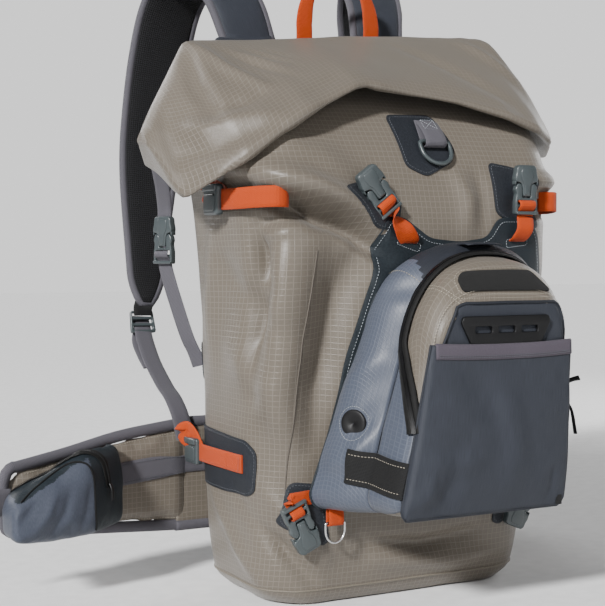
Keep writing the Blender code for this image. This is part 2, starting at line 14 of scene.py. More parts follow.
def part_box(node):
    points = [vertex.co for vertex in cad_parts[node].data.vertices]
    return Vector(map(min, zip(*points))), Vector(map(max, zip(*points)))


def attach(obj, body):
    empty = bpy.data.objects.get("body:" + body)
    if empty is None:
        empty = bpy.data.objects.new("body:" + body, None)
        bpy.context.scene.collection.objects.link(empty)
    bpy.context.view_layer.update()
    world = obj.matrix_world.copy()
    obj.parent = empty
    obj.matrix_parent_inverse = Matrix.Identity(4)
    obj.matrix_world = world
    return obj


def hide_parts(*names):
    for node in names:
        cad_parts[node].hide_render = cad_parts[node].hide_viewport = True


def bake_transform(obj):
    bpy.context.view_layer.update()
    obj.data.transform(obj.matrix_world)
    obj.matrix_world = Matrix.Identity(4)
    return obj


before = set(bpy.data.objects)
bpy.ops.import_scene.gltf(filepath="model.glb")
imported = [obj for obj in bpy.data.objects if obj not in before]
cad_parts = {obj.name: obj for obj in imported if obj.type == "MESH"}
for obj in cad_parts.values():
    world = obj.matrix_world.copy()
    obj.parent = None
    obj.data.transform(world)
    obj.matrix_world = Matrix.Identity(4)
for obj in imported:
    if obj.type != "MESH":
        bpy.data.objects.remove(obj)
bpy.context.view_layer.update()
SCENE = bpy.context.scene


def mm(table):
    """Millimetres to metres, through any nesting of lists and tuples; names stay as they are."""
    if isinstance(table, (list, tuple)):
        return type(table)(mm(entry) for entry in table)
    return table / 1000 if isinstance(table, (int, float)) else table


# ---------------------------------------------------------------- camera
EYE = Vector((-0.7346, -1.2244, 0.3467))
HEADING = math.radians(30.963 - 2.5324)      # to the right of +Y
DOWNWARD = math.radians(2.3174)
LENS = 80.54

forward = Vector((math.sin(HEADING), math.cos(HEADING), 0)) * math.cos(DOWNWARD)
forward.z = -math.sin(DOWNWARD)
camera = bpy.data.objects.new("camera", bpy.data.cameras.new("camera"))
camera.data.lens = LENS
camera.location = EYE
camera.rotation_mode = "QUATERNION"
camera.rotation_quaternion = forward.to_track_quat("-Z", "Y")
SCENE.collection.objects.link(camera)
SCENE.camera = camera

# ---------------------------------------------------------------- shape tables
BAG_SECTIONS = mm((          # height, half width, front y, rear y, corner radius
    (0, 136, -78, 72, 40),
    (14, 150, -88, 82, 46),
    (100, 160, -100, 85, 55),
    (200, 164, -112, 85, 60),
    (300, 168, -122, 85, 60),
    (370, 174, -120, 85, 60),
    (425, 182, -108, 85, 55),
    (470, 183, -78, 84, 50),
    (505, 168, -36, 80, 45),
    (540, 160, 18, 76, 26),
))
ROLL_STATIONS = mm((         # x, ridge y, ridge z, front edge y, front edge z, rear y, rear z
    (-247, 6, 457, -6, 449, 14, 451),
    (-228, 20, 487, -56, 388, 44, 428),
    (-206, 33, 521, -88, 408, 66, 466),
    (-185, 45, 555, -102, 424, 84, 498),
    (-160, 52, 559, -106, 444, 92, 522),
    (-120, 56, 563, -104, 470, 94, 534),
    (-60, 58, 569, -92, 498.5, 94, 540),
    (-45, 59, 571, -88, 501, 94, 541),
    (0, 60, 575, -86, 496.5, 94, 544),
    (60, 60, 580, -90, 490, 94, 546),
    (120, 59, 584, -96, 477, 94, 542),
    (160, 56, 586, -94, 465, 94, 532),
    (188, 50, 585, -78, 456, 90, 514),
    (206, 38, 552, -50, 450, 78, 480),
    (225, 22, 512, -22, 446, 48, 452),
    (240, 8, 476, -4, 452, 16, 450),
))
ROLL_THICK = 0.016
RIM_POINTS = 208          # points round the chest pack's outlines
PANEL_STEPS = 56          # rings from the panel's rim to the edge of its front
ZIP_POINTS = 360
ZIP_TEETH = 1040
POCKET_HEIGHTS = (0.1045, 0.258)
MOULDED_EDGE = 38         # degrees beyond which shading breaks, on clips, on plain plates and on webbing
PLATE_EDGE = 40
WEBBING_EDGE = 50
BEVEL_ANGLE = 35          # edges sharper than this are rounded
CLOTH_LIFT = 0.0002       # gap under a piece laid on cloth, and the rounding of its cut edge
CLOTH_EDGE = 0.0004
SWELL_FRAMES = 20         # frames of the padding's simulation
PACK_BOTTOM = 0.1
ZIP_Y = -0.172
PACK_FRONT = -0.2165
RIM = (0.104, 0.245, 0.34, 0.1, 0.08, 2.4)
STRAP_CENTRE = 0.0125
WING_PIVOT = (-0.15, 0.1)
RIGHT_FOLD = -92.0
WEB = 0.02               # width of the common webbing
AMBIENT = 0.13            # white light from all round, and the backdrop the camera sees
BACKDROP = 1.15


# ---------------------------------------------------------------- small helpers
def mix(a, b, t):
    return a + (b - a) * t


def ease(t):
    t = min(1.0, max(0.0, t))
    return t * t * (3 - 2 * t)


def rectangle(left, low, right, high):
    return [(left, low), (right, low), (right, high), (left, high)]


def sided(side, points):
    """Places given for the side of positive x, put on one side of the bag."""
    return [Vector((side * x, y, z)) for x, y, z in points]


def heading(path, i):
    """Direction of an open path at one of its points."""
    return (path[min(i + 1, len(path) - 1)] - path[max(i - 1, 0)]).normalized()


def superellipse(count, wide, tall):
    """A section within -1 to 1 in both directions; powers below 1 square its sides."""
    turn = [(math.cos(a), math.sin(a)) for a in (2 * math.pi * k / count for k in range(count))]
    return [(math.copysign(abs(c) ** wide, c), math.copysign(abs(s) ** tall, s)) for c, s in turn]


def smooth_row(rows, key):
    """All columns of a table at a key value, on a smooth curve through its rows."""
    keys = [row[0] for row in rows]
    key = min(max(key, keys[0]), keys[-1])
    i = max(k for k in range(len(keys) - 1) if keys[k] <= key)
    table = np.array(rows, float)

    def slope(k):
        a, b = max(k - 1, 0), min(k + 1, len(keys) - 1)
        return (table[b] - table[a]) / (keys[b] - keys[a])

    h = keys[i + 1] - keys[i]
    t = (key - keys[i]) / h
    start = (2 * t ** 3 - 3 * t * t + 1) * table[i] + (t ** 3 - 2 * t * t + t) * h * slope(i)
    return (start + (3 * t * t - 2 * t ** 3) * table[i + 1] + (t ** 3 - t * t) * h * slope(i + 1))[1:]


def smooth_path(points, steps):
    """Points of a smooth curve that passes through the given ones."""
    pts = [Vector(p) for p in points]
    ends = [2 * pts[0] - pts[1]] + pts + [2 * pts[-1] - pts[-2]]
    path = []
    for i in range(1, len(ends) - 2):
        p0, p1, p2, p3 = ends[i - 1:i + 3]
        for k in range(steps):
            t = k / steps
            b = (2 * p0 - 5 * p1 + 4 * p2 - p3) * t * t
            c = (3 * p1 - p0 - 3 * p2 + p3) * t ** 3
            path.append((2 * p1 + (p2 - p0) * t + b + c) / 2)
    return path + [pts[-1]]


def resample(points, count, closed=False):
    """The same number of evenly spaced points on any polyline."""
    pts = np.array([tuple(p) for p in points], float)
    if closed:
        pts = np.vstack([pts, pts[:1]])
    run = np.concatenate([[0], np.cumsum(np.linalg.norm(np.diff(pts, axis=0), axis=1))])
    places = np.linspace(0, run[-1], count, endpoint=not closed)
    out = np.stack([np.interp(places, run, pts[:, k]) for k in range(pts.shape[1])], axis=1)
    return [Vector(p) for p in out]


def path_length(points):
    return sum((Vector(b) - Vector(a)).length for a, b in zip(points, points[1:]))


def rounded(points, radius, arc=5):
    """A polygon in a plane with its corners rounded."""
    out = []
    for i, p in enumerate(points):
        p = Vector(p)
        before, after = Vector(points[i - 1]) - p, Vector(points[(i + 1) % len(points)]) - p
        cut = min(radius, before.length * 0.45, after.length * 0.45)
        a, b = p + before.normalized() * cut, p + after.normalized() * cut
        for k in range(arc + 1):
            t = k / arc
            out.append(a * (1 - t) ** 2 + p * 2 * t * (1 - t) + b * t * t)
    return [tuple(q) for q in out]


def chaikin(points, rounds):
    """Cut the corners of a closed polygon."""
    for _ in range(rounds):
        points = [q for a, b in zip(points, points[1:] + points[:1])
                  for q in (a * 0.75 + b * 0.25, a * 0.25 + b * 0.75)]
    return points


# ---------------------------------------------------------------- materials
def op(tree, kind, *values, clamp=False):
    """A Math node; each value is a number or a socket."""
    node = tree.nodes.new("ShaderNodeMath")
    node.operation = kind
    node.use_clamp = clamp
    for socket, value in zip(node.inputs, values):
        if isinstance(value, (int, float)):
            socket.default_value = value
        else:
            tree.links.new(value, socket)
    return node.outputs[0]


def tint(tree, amount, low, high):
    """A colour between two, each a tuple or a socket."""
    node = tree.nodes.new("ShaderNodeMix")
    node.data_type = "RGBA"
    for socket, value in ((node.inputs[6], low), (node.inputs[7], high)):
        if isinstance(value, tuple):
            socket.default_value = (*value, 1.0)
        else:
            tree.links.new(value, socket)
    tree.links.new(amount, node.inputs[0])
    return node.outputs[2]


def place(tree, stretch=(1, 1, 1), uv=True):
    """Coordinates in metres on the cloth (or in the object), stretched."""
    source = tree.nodes.new("ShaderNodeTexCoord").outputs["UV" if uv else "Object"]
    mapping = tree.nodes.new("ShaderNodeMapping")
    mapping.inputs["Scale"].default_value = stretch
    tree.links.new(source, mapping.inputs["Vector"])
    return mapping.outputs[0]


def grain(tree, scale, stretch=(1, 1, 1), uv=True, detail=2.0):
    node = tree.nodes.new("ShaderNodeTexNoise")
    node.inputs["Scale"].default_value = scale
    node.inputs["Detail"].default_value = detail
    tree.links.new(place(tree, stretch, uv), node.inputs["Vector"])
    return node.outputs["Fac"]


def axes(tree):
    split = tree.nodes.new("ShaderNodeSeparateXYZ")
    tree.links.new(place(tree, uv=True), split.inputs[0])
    return split.outputs


def line_mask(tree, coordinate, pitch, width):
    """1 on evenly spaced lines, 0 between them."""
    near = op(tree, "PINGPONG", coordinate, pitch / 2)
    return op(tree, "SUBTRACT", 1.0, op(tree, "DIVIDE", near, width / 2), clamp=True)


def wave(tree, coordinate, pitch):
    return op(tree, "SINE", op(tree, "MULTIPLY", coordinate, 2 * math.pi / pitch))


def finish_material(tree, color, height, rough, depth, **settings):
    """Wire colour, roughness and bump into the shader, and set its constants."""
    shader = tree.nodes["Principled BSDF"]
    tree.links.new(color, shader.inputs["Base Color"])
    if isinstance(rough, float):
        shader.inputs["Roughness"].default_value = rough
    else:
        tree.links.new(rough, shader.inputs["Roughness"])
    bump = tree.nodes.new("ShaderNodeBump")
    bump.inputs["Strength"].default_value = 1.0
    bump.inputs["Distance"].default_value = depth
    tree.links.new(height, bump.inputs["Height"])
    tree.links.new(bump.outputs[0], shader.inputs["Normal"])
    shader.inputs["Specular IOR Level"].default_value = 0.25
    for name, value in settings.items():
        shader.inputs[name.replace("_", " ")].default_value = value


def start_material(name):
    mat = bpy.data.materials.new(name)
    mat.use_nodes = True
    return mat, mat.node_tree


def ripstop(name, base, line, grid=0.0055, rough=0.46):
    """Coated cloth with a grid of thicker threads."""
    mat, tree = start_material(name)
    u, v, _ = axes(tree)
    wander = op(tree, "MULTIPLY", op(tree, "SUBTRACT", grain(tree, 9.0), 0.5), 0.003)
    u, v = op(tree, "ADD", u, wander), op(tree, "ADD", v, wander)
    lines = op(tree, "MAXIMUM", line_mask(tree, u, grid, 0.0011), line_mask(tree, v, grid, 0.0011))
    slub = op(tree, "MAXIMUM", grain(tree, 1.0, (120, 1400, 1)), grain(tree, 1.0, (1400, 120, 1)))
    threads = op(tree, "MULTIPLY", wave(tree, u, 0.0008), wave(tree, v, 0.0008))
    dark = tuple(c * 0.8 for c in base)
    color = tint(tree, slub, dark, tuple(c * 1.16 for c in base))
    color = tint(tree, op(tree, "MULTIPLY", lines, 0.42), color, line)
    color = tint(tree, op(tree, "MULTIPLY", grain(tree, 14.0, uv=False), 0.16), color, dark)
    height = op(tree, "ADD", op(tree, "MULTIPLY", lines, 0.7), op(tree, "MULTIPLY", threads, 0.12))
    worn = op(tree, "ADD", op(tree, "MULTIPLY", slub, 0.12), rough - 0.06)
    finish_material(tree, color, height, worn, 0.00022, Coat_Weight=0.18, Coat_Roughness=0.35,
                    Sheen_Weight=0.08)
    return mat


def melange(name, base, light, rough=0.55, streak=(45, 1500, 1), sheen=0.25, thread=0.0009):
    """Woven pack cloth with a two-colour yarn."""
    mat, tree = start_material(name)
    u, v, _ = axes(tree)
    yarn = grain(tree, 1.0, streak)
    cross = grain(tree, 1.0, (streak[1] * 0.8, streak[0] * 2, 1))
    weave = op(tree, "MULTIPLY", wave(tree, u, thread), wave(tree, v, thread))
    spread = op(tree, "MULTIPLY_ADD", op(tree, "SUBTRACT", yarn, 0.5), 2.2, 0.5, clamp=True)
    color = tint(tree, spread, base, light)
    color = tint(tree, op(tree, "MULTIPLY", cross, 0.35), color, tuple(c * 0.75 for c in base))
    height = op(tree, "ADD", op(tree, "MULTIPLY", weave, 0.3), op(tree, "MULTIPLY", yarn, 0.5))
    finish_material(tree, color, height, rough, 0.00018, Sheen_Weight=sheen, Sheen_Roughness=0.4)
    return mat


def web_material(name, base, light):
    """Ribbed webbing: ribs run across the strap."""
    mat, tree = start_material(name)
    u, v, _ = axes(tree)
    ribs = wave(tree, v, 0.0013)
    cord = wave(tree, op(tree, "ADD", u, op(tree, "MULTIPLY", v, 0.5)), 0.0017)
    fuzz = grain(tree, 900.0)
    color = tint(tree, op(tree, "MULTIPLY_ADD", ribs, 0.22, 0.4, clamp=True), base, light)
    color = tint(tree, op(tree, "MULTIPLY", fuzz, 0.4), color, tuple(c * 0.7 for c in base))
    height = op(tree, "ADD", op(tree, "MULTIPLY", ribs, 0.4), op(tree, "MULTIPLY", cord, 0.25))
    finish_material(tree, color, height, 0.72, 0.00025, Sheen_Weight=0.06, Sheen_Roughness=0.5)
    return mat


def net_material(name, base, light, cell=0.0034):
    """Spacer mesh: rows of open holes in a knitted face."""
    mat, tree = start_material(name)
    u, v, _ = axes(tree)
    a = wave(tree, op(tree, "ADD", u, v), cell * 1.4)
    b = wave(tree, op(tree, "SUBTRACT", u, v), cell * 1.4)
    holes = op(tree, "MULTIPLY_ADD", op(tree, "MULTIPLY", a, b), 2.4, 0.35, clamp=True)
    fuzz = grain(tree, 1200.0)
    color = tint(tree, holes, light, base)
    color = tint(tree, op(tree, "MULTIPLY", fuzz, 0.5), color, tuple(c * 0.5 for c in base))
    height = op(tree, "SUBTRACT", fuzz, op(tree, "MULTIPLY", holes, 1.6))
    finish_material(tree, color, height, 0.85, 0.0006, Sheen_Weight=0.05)
    return mat


def moulded(name, base, rough, depth=0.00008, **settings):
    """Moulded plastic, rubber or plain thread, with a fine grain and rubbed highlights."""
    mat, tree = start_material(name)
    spots = grain(tree, 1100.0, uv=False)
    cloud = grain(tree, 60.0, uv=False)
    color = tint(tree, op(tree, "MULTIPLY", cloud, 0.6), base, tuple(min(1, c * 1.35) for c in base))
    worn = op(tree, "MULTIPLY_ADD", cloud, 0.16, rough - 0.08)
    finish_material(tree, color, spots, worn, depth, **settings)
    return mat


def foam_material(name):
    mat, tree = start_material(name)
    tufts = grain(tree, 1500.0, uv=False, detail=4.0)
    color = tint(tree, tufts, (0.002, 0.002, 0.002), (0.022, 0.022, 0.022))
    finish_material(tree, color, tufts, 0.95, 0.0012, Sheen_Weight=0.03)
    return mat


KHAKI = ripstop("khaki_ripstop", (0.122, 0.104, 0.083), (0.255, 0.23, 0.195), rough=0.36)
KHAKI_PLAIN = melange("khaki_cloth", (0.135, 0.116, 0.091), (0.2, 0.178, 0.142), 0.5, (700, 700, 1), 0.05)
SEAM = moulded("seam_khaki", (0.09, 0.078, 0.066), 0.8)
SLATE = ripstop("slate_ripstop", (0.06, 0.07, 0.096), (0.12, 0.136, 0.17), grid=0.0042, rough=0.38)
SLATE_POCKET = melange("slate_pocket", (0.021, 0.024, 0.032), (0.035, 0.039, 0.051), 0.6, (1500, 60, 1), 0.03)
POUCH_CLOTH = melange("pouch_cloth", (0.042, 0.049, 0.069), (0.062, 0.071, 0.096), 0.5, (900, 300, 1), 0.05)
TEAL = melange("teal_laminate", (0.009, 0.013, 0.017), (0.019, 0.026, 0.032), 0.5, (500, 500, 1), 0.02)
PATCH = melange("patch_laminate", (0.012, 0.014, 0.018), (0.024, 0.027, 0.034), 0.5, (500, 500, 1), 0.02)
COLLAR = melange("dark_slate", (0.012, 0.014, 0.019), (0.024, 0.027, 0.036), 0.55, sheen=0.03)
LINING = melange("lining_black", (0.003, 0.003, 0.003), (0.008, 0.008, 0.009), 0.8, sheen=0.03)
ORANGE = web_material("orange_webbing", (0.36, 0.034, 0.001), (0.52, 0.062, 0.002))
GREY_WEB = web_material("grey_webbing", (0.06, 0.057, 0.068), (0.125, 0.119, 0.137))
BLACK_WEB = web_material("black_webbing", (0.003, 0.003, 0.003), (0.008, 0.008, 0.009))
NET = net_material("spacer_mesh", (0.001, 0.001, 0.001), (0.014, 0.014, 0.017))
PLASTIC = moulded("buckle_plastic", (0.042, 0.052, 0.055), 0.32, Specular_IOR_Level=0.55)
RUBBER = moulded("black_rubber", (0.004, 0.004, 0.0045), 0.5, Specular_IOR_Level=0.3)
ZIP_BLACK = moulded("zip_black", (0.004, 0.004, 0.0045), 0.4, Specular_IOR_Level=0.4)
TAPE = melange("zip_tape", (0.003, 0.003, 0.003), (0.009, 0.009, 0.009), 0.7, (900, 200, 1), 0.03)
STEEL = moulded("ring_steel", (0.62, 0.62, 0.62), 0.28, Metallic=1.0)
FOAM = foam_material("fly_foam")
THREAD = moulded("light_thread", (0.26, 0.28, 0.3), 0.8)
THREAD_KHAKI = moulded("khaki_thread", (0.3, 0.27, 0.22), 0.8)
THREAD_DARK = moulded("dark_thread", (0.05, 0.055, 0.065), 0.8)
THREAD_PATCH = moulded("patch_thread", (0.075, 0.08, 0.09), 0.8)


# ---------------------------------------------------------------- mesh builders
def grid_mesh(name, rows, closed=False, caps=False, flip=False):
    """A mesh over rows of points, with UVs in metres across (u) and along (v) the cloth."""
    rows = np.array([[tuple(p) for p in row] for row in rows], float)
    high, wide = rows.shape[:2]
    wrap = np.concatenate([rows, rows[:, :1]], axis=1) if closed else rows
    step = np.linalg.norm(np.diff(wrap, axis=1), axis=2)
    u = np.concatenate([np.zeros((high, 1)), np.cumsum(step, axis=1)], axis=1)
    u -= u[:, -1:] / 2
    rise = np.linalg.norm(np.diff(rows, axis=0), axis=2).mean(axis=1)
    v = np.concatenate([[0], np.cumsum(rise)])
    faces, corners = [], []
    for r in range(high - 1):
        for c in range(wide if closed else wide - 1):
            d = (c + 1) % wide
            faces.append([r * wide + c, r * wide + d, (r + 1) * wide + d, (r + 1) * wide + c])
            corners.append([(u[r, c], v[r]), (u[r, c + 1], v[r]), (u[r + 1, c + 1], v[r + 1]),
                            (u[r + 1, c], v[r + 1])])
    if caps:
        for r, order in ((0, -1), (high - 1, 1)):
            faces.append([r * wide + c for c in range(wide)][::order])
            corners.append([(rows[r, c, 0] + rows[r, c, 1], rows[r, c, 2]) for c in range(wide)][::order])
    if flip:
        faces, corners = [f[::-1] for f in faces], [c[::-1] for c in corners]
    mesh = bpy.data.meshes.new(name)
    mesh.from_pydata([tuple(p) for p in rows.reshape(-1, 3)], [], faces)
    layer = mesh.uv_layers.new(name="cloth")
    layer.data.foreach_set("uv", np.array([xy for face in corners for xy in face], np.float32).ravel())
    mesh.shade_smooth()
    return mesh


def shrunk(ring, share, shift=Vector()):
    """A ring drawn in towards its middle."""
    middle = sum(ring, Vector()) / len(ring)
    return [middle + (p - middle) * share + shift for p in ring]


def add(name, mesh, material, body=None, stands_for=()):
    """Link one piece, paint it and hang it on its body."""
    obj = bpy.data.objects.new(name, mesh)
    SCENE.collection.objects.link(obj)
    for mat in material if isinstance(material, (list, tuple)) else (material,):
        mesh.materials.append(mat)
    if body:
        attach(obj, body)
    if stands_for:
        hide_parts(*([stands_for] if isinstance(stands_for, str) else stands_for))
    return obj


def thicken(obj, thickness, offset=-1.0):
    mod = obj.modifiers.new("skin", "SOLIDIFY")
    mod.thickness = thickness
    mod.offset = offset
    return obj


def soften(obj, width):
    mod = obj.modifiers.new("edges", "BEVEL")
    mod.width = width
    mod.segments = 2
    mod.limit_method = "ANGLE"
    mod.angle_limit = math.radians(BEVEL_ANGLE)
    return obj


def divide(obj):
    mod = obj.modifiers.new("round", "SUBSURF")
    mod.levels = mod.render_levels = 1
    return obj


def applied(obj):
    """The mesh of an object with its modifiers applied."""
    graph = bpy.context.evaluated_depsgraph_get()
    return bpy.data.meshes.new_from_object(obj.evaluated_get(graph))


def bake(obj):
    """Apply the modifiers of an object."""
    mesh = applied(obj)
    obj.modifiers.clear()
    obj.data = mesh
    return obj


def tree_of(obj):
    """A ray-casting tree of a piece, as shown."""
    return BVHTree.FromObject(obj, bpy.context.evaluated_depsgraph_get())


def coordinates(mesh):
    out = np.empty(len(mesh.vertices) * 3)
    mesh.vertices.foreach_get("co", out)
    return out.reshape(-1, 3)


def near_line(points, line):
    """Distance from each point to a polyline, and the share of its length there."""
    line = np.array([tuple(p) for p in line], float)
    best = np.full(len(points), 1e9)
    share = np.zeros(len(points))
    spans = len(line) - 1
    for k in range(spans):
        a, b = line[k], line[k + 1]
        t = np.clip(((points - a) @ (b - a)) / ((b - a) @ (b - a)), 0, 1)
        far = np.linalg.norm(points - a - t[:, None] * (b - a), axis=1)
        nearer = far < best
        best[nearer] = far[nearer]
        share[nearer] = (k + t[nearer]) / spans
    return best, share


def crease(mesh, folds, wander=0.0, scale=30.0, seed=0.0):
    """Press folds into a mesh: each is a line, a width and a height along the normals (minus is a dent)."""
    points = coordinates(mesh)
    normals = np.array([tuple(v.normal) for v in mesh.vertices])
    lift = np.zeros(len(points))
    for line, width, height in folds:
        far, share = near_line(points, line)
        fade = np.sin(np.pi * np.clip(share * 0.86 + 0.07, 0, 1)) ** 0.7
        lift += height * np.exp(-(far / width) ** 2) * fade
    if wander:
        shift = Vector((seed, seed * 0.7, -seed))
        lift += wander * np.array([noise.noise(Vector(p) * scale + shift) for p in points])
    mesh.vertices.foreach_set("co", (points + normals * lift[:, None]).ravel())
    mesh.update()


def sweep_rows(path, across, section, closed=False, scale=None):
    """Rows of a section (across, outward) carried along a path."""
    rows, last = [], len(path) - 1
    for i, p in enumerate(path):
        ahead = (path[(i + 1) % len(path)] - path[i - 1]).normalized() if closed else heading(path, i)
        side = Vector(across[i] if isinstance(across, list) else across)
        side = (side - ahead * side.dot(ahead)).normalized()
        out = ahead.cross(side)
        wide = 1.0 if scale is None else scale(i / last)
        rows.append([p + side * (a * wide) + out * b for a, b in section])
    return rows


def strap_section(width, thick):
    """A flat strap with eased edges."""
    w, t, e = width / 2, thick / 2, min(thick * 0.35, 0.0006)
    return [(-w + e, -t), (-w * 0.5, -t), (0, -t), (w * 0.5, -t), (w - e, -t), (w, -t + e), (w, t - e),
            (w - e, t), (w * 0.5, t), (0, t), (-w * 0.5, t), (-w + e, t), (-w, t - e), (-w, -t + e)]


def strap(name, path, across, material, body, width=WEB, thick=0.0016, stands_for=(), scale=None):
    """Webbing along a path, its ribs across."""
    rows = sweep_rows(path, across, strap_section(width, thick), scale=scale)
    return add(name, shade(grid_mesh(name, rows, closed=True, caps=True), WEBBING_EDGE), material, body,
               stands_for)


def tube(name, path, radius, material, body, closed=False, sides=8, across=(0, 0, 1), flat=1.0,
         stands_for=()):
    """A round cord, piping or wire along a path."""
    section = [(radius * math.cos(a), radius * flat * math.sin(a))
               for a in (2 * math.pi * k / sides for k in range(sides))]
    rows = sweep_rows(path, across, section, closed)
    if closed:
        rows.append(rows[0])
    mesh = grid_mesh(name, rows, closed=True, caps=not closed)
    if closed:
        weld(mesh)
    return add(name, mesh, material, body, stands_for)


def shade(mesh, sharp):
    """Smooth shading, broken at edges sharper than an angle in degrees."""
    mesh.shade_smooth()
    mesh.set_sharp_from_angle(angle=math.radians(sharp))
    return mesh


def weld(mesh):
    bm = bmesh.new()
    bm.from_mesh(mesh)
    bmesh.ops.remove_doubles(bm, verts=bm.verts, dist=0.000005)
    bm.to_mesh(mesh)
    bm.free()


def laid(tree, points, direction, lift):
    """Points dropped onto a surface along a direction, with the surface normals there."""
    direction = Vector(direction).normalized()
    out = []
    for p in points:
        hit, normal, _, _ = tree.ray_cast(Vector(p) - direction * 0.08, direction, 0.5)
        if hit is not None:
            if normal.dot(direction) > 0:
                normal = -normal
            out.append((hit + normal * lift, normal))
    return out


def dropped(tree, points, direction, lift):
    """The places only of points dropped onto a surface."""
    return [place for place, _ in laid(tree, points, direction, lift)]


def d_outline(half, drop, sag=0.0, flare=0.0):
    """A D-ring: half the length of its bar, the drop of its bow, and how far bar and sides bend out."""
    bow = [(half * math.cos(a), drop * 0.4 + drop * 0.6 * math.sin(a))
           for a in (math.pi * i / 14 for i in range(15))]
    side = half + flare
    return [(-half, 0.0), (0.0, -sag), (half, 0.0), (side, drop * 0.25)] + bow + [(-side, drop * 0.25)]


def stitch_mesh(name, places, pitch=0.0032, share=0.68, radius=0.00032):
    """Thread: short spindles end to end along places, which are (point, normal) pairs."""
    points = [p for p, _ in places]
    count = max(2, round(path_length(points) / pitch))
    beads = resample(points, count * 2 + 1)
    verts, faces = [], []
    normals = [n for _, n in places]
    for k in range(count):
        a, b = beads[2 * k], beads[2 * k + 2]
        along = (b - a) * share / 2
        middle = (a + b) / 2
        up = normals[min(len(normals) - 1, int(len(normals) * k / count))]
        side = along.cross(up).normalized() * radius
        up = up.normalized() * radius
        base = len(verts)
        verts += [middle - along, middle + along]
        verts += [middle - along * 0.6 + side, middle - along * 0.6 + up, middle - along * 0.6 - side]
        verts += [middle + along * 0.6 + side, middle + along * 0.6 + up, middle + along * 0.6 - side]
        faces += [[base + q for q in face] for face in (
            (0, 3, 2), (0, 4, 3), (1, 5, 6), (1, 6, 7), (2, 3, 6, 5), (3, 4, 7, 6), (4, 2, 5, 7),
            (0, 2, 4), (1, 7, 5))]
    mesh = bpy.data.meshes.new(name)
    mesh.from_pydata([tuple(v) for v in verts], [], faces)
    return mesh


def sew(name, tree, lines, direction, lift, body, material=THREAD, **style):
    """Stitch lines laid on a surface, joined as one piece."""
    mesh = bpy.data.meshes.new(name)
    bm = bmesh.new()
    for line in lines:
        dense = resample(line, max(4, round(path_length(line) / 0.003)))
        places = laid(tree, dense, direction, lift)
        if len(places) > 2:
            part = stitch_mesh(name, places, **style)
            bm.from_mesh(part)
            bpy.data.meshes.remove(part)
    bm.to_mesh(mesh)
    bm.free()
    return add(name, mesh, material, body)


def filled(points, step):
    """A flat outline (u, v) cut into cells, as a bmesh in the XY plane."""
    bm = bmesh.new()
    bm.faces.new([bm.verts.new((u, v, 0)) for u, v in points])
    for axis in (0, 1):
        low, high = min(p[axis] for p in points), max(p[axis] for p in points)
        for i in range(1, max(2, round((high - low) / step))):
            spot, normal = Vector(), Vector()
            spot[axis] = low + step * i
            normal[axis] = 1.0
            bmesh.ops.bisect_plane(bm, geom=bm.verts[:] + bm.edges[:] + bm.faces[:], plane_co=spot,
                                   plane_no=normal)
    return bm


def draped(name, tree, points, origin, u, v, thick, material, body, step=0.006, stands_for=()):
    """A cut piece of cloth laid on a surface: its outline lies in the plane of u and v at the origin."""
    u, v, origin = Vector(u).normalized(), Vector(v).normalized(), Vector(origin)
    inward = v.cross(u)
    bm = filled(points, step)
    uv = bm.loops.layers.uv.new("cloth")
    for face in bm.faces:
        for loop in face.loops:
            loop[uv].uv = loop.vert.co.xy
    for vert in bm.verts:
        a, b = vert.co.x, vert.co.y
        spot = origin + u * a + v * b
        found = laid(tree, [spot], inward, CLOTH_LIFT)
        if not found:
            found = laid(tree, [origin + (spot - origin) * 0.93], inward, CLOTH_LIFT)
        vert.co = found[0][0] if found else spot
    bmesh.ops.triangulate(bm, faces=[f for f in bm.faces if len(f.verts) > 4])
    mesh = bpy.data.meshes.new(name)
    bmesh.ops.recalc_face_normals(bm, faces=bm.faces)
    middle = max(bm.faces, key=lambda f: f.calc_area())
    if middle.normal.dot(inward) > 0:
        bmesh.ops.reverse_faces(bm, faces=bm.faces)
    bm.to_mesh(mesh)
    bm.free()
    mesh.shade_smooth()
    return soften(thicken(add(name, mesh, material, body, stands_for), thick, 1.0), CLOTH_EDGE)


def inset_line(points, inset):
    """A closed outline drawn in by a distance, and closed on itself."""
    out = []
    for i, p in enumerate(points):
        before, here, after = Vector(points[i - 1]), Vector(p), Vector(points[(i + 1) % len(points)])
        ahead = (after - before).normalized()
        out.append(here + Vector((-ahead.y, ahead.x)) * inset)
    return out + out[:1]


def area_sign(points):
    return sum(a[0] * b[1] - b[0] * a[1] for a, b in zip(points, points[1:] + points[:1]))


def sewn_patch(name, tree, points, origin, u, v, material, body, radius=0.006, thick=0.001, thread=THREAD,
               inset=0.0024, stands_for=(), step=0.005):
    """A rounded patch with a line of stitches inside its edge."""
    points = rounded(points, radius)
    if area_sign(points) < 0:
        points = points[::-1]
    obj = draped(name, tree, points, origin, u, v, thick, material, body, step=step, stands_for=stands_for)
    u, v, origin = Vector(u).normalized(), Vector(v).normalized(), Vector(origin)
    line = [origin + u * p.x + v * p.y for p in inset_line(points, inset)]
    sew(name + "_stitch", tree, [line], v.cross(u), thick + 0.0004, body, thread)
    return obj


def plate(name, outlines, thick, edge=0.001):
    """A moulded plate in the XY plane with rounded edges; its rim comes first, then its holes."""
    curve = bpy.data.curves.new(name, "CURVE")
    curve.dimensions = "2D"
    curve.fill_mode = "BOTH"
    curve.extrude = thick / 2 - edge
    curve.bevel_depth = edge
    curve.bevel_resolution = 2
    curve.offset = -edge
    for outline in outlines:
        spline = curve.splines.new("POLY")
        spline.points.add(len(outline) - 1)
        for point, (x, y) in zip(spline.points, outline):
            point.co = (x, y, 0, 1)
        spline.use_cyclic_u = True
    guide = bpy.data.objects.new(name, curve)
    SCENE.collection.objects.link(guide)
    mesh = applied(guide)
    bpy.data.objects.remove(guide)
    weld(mesh)
    return shade(mesh, PLATE_EDGE)


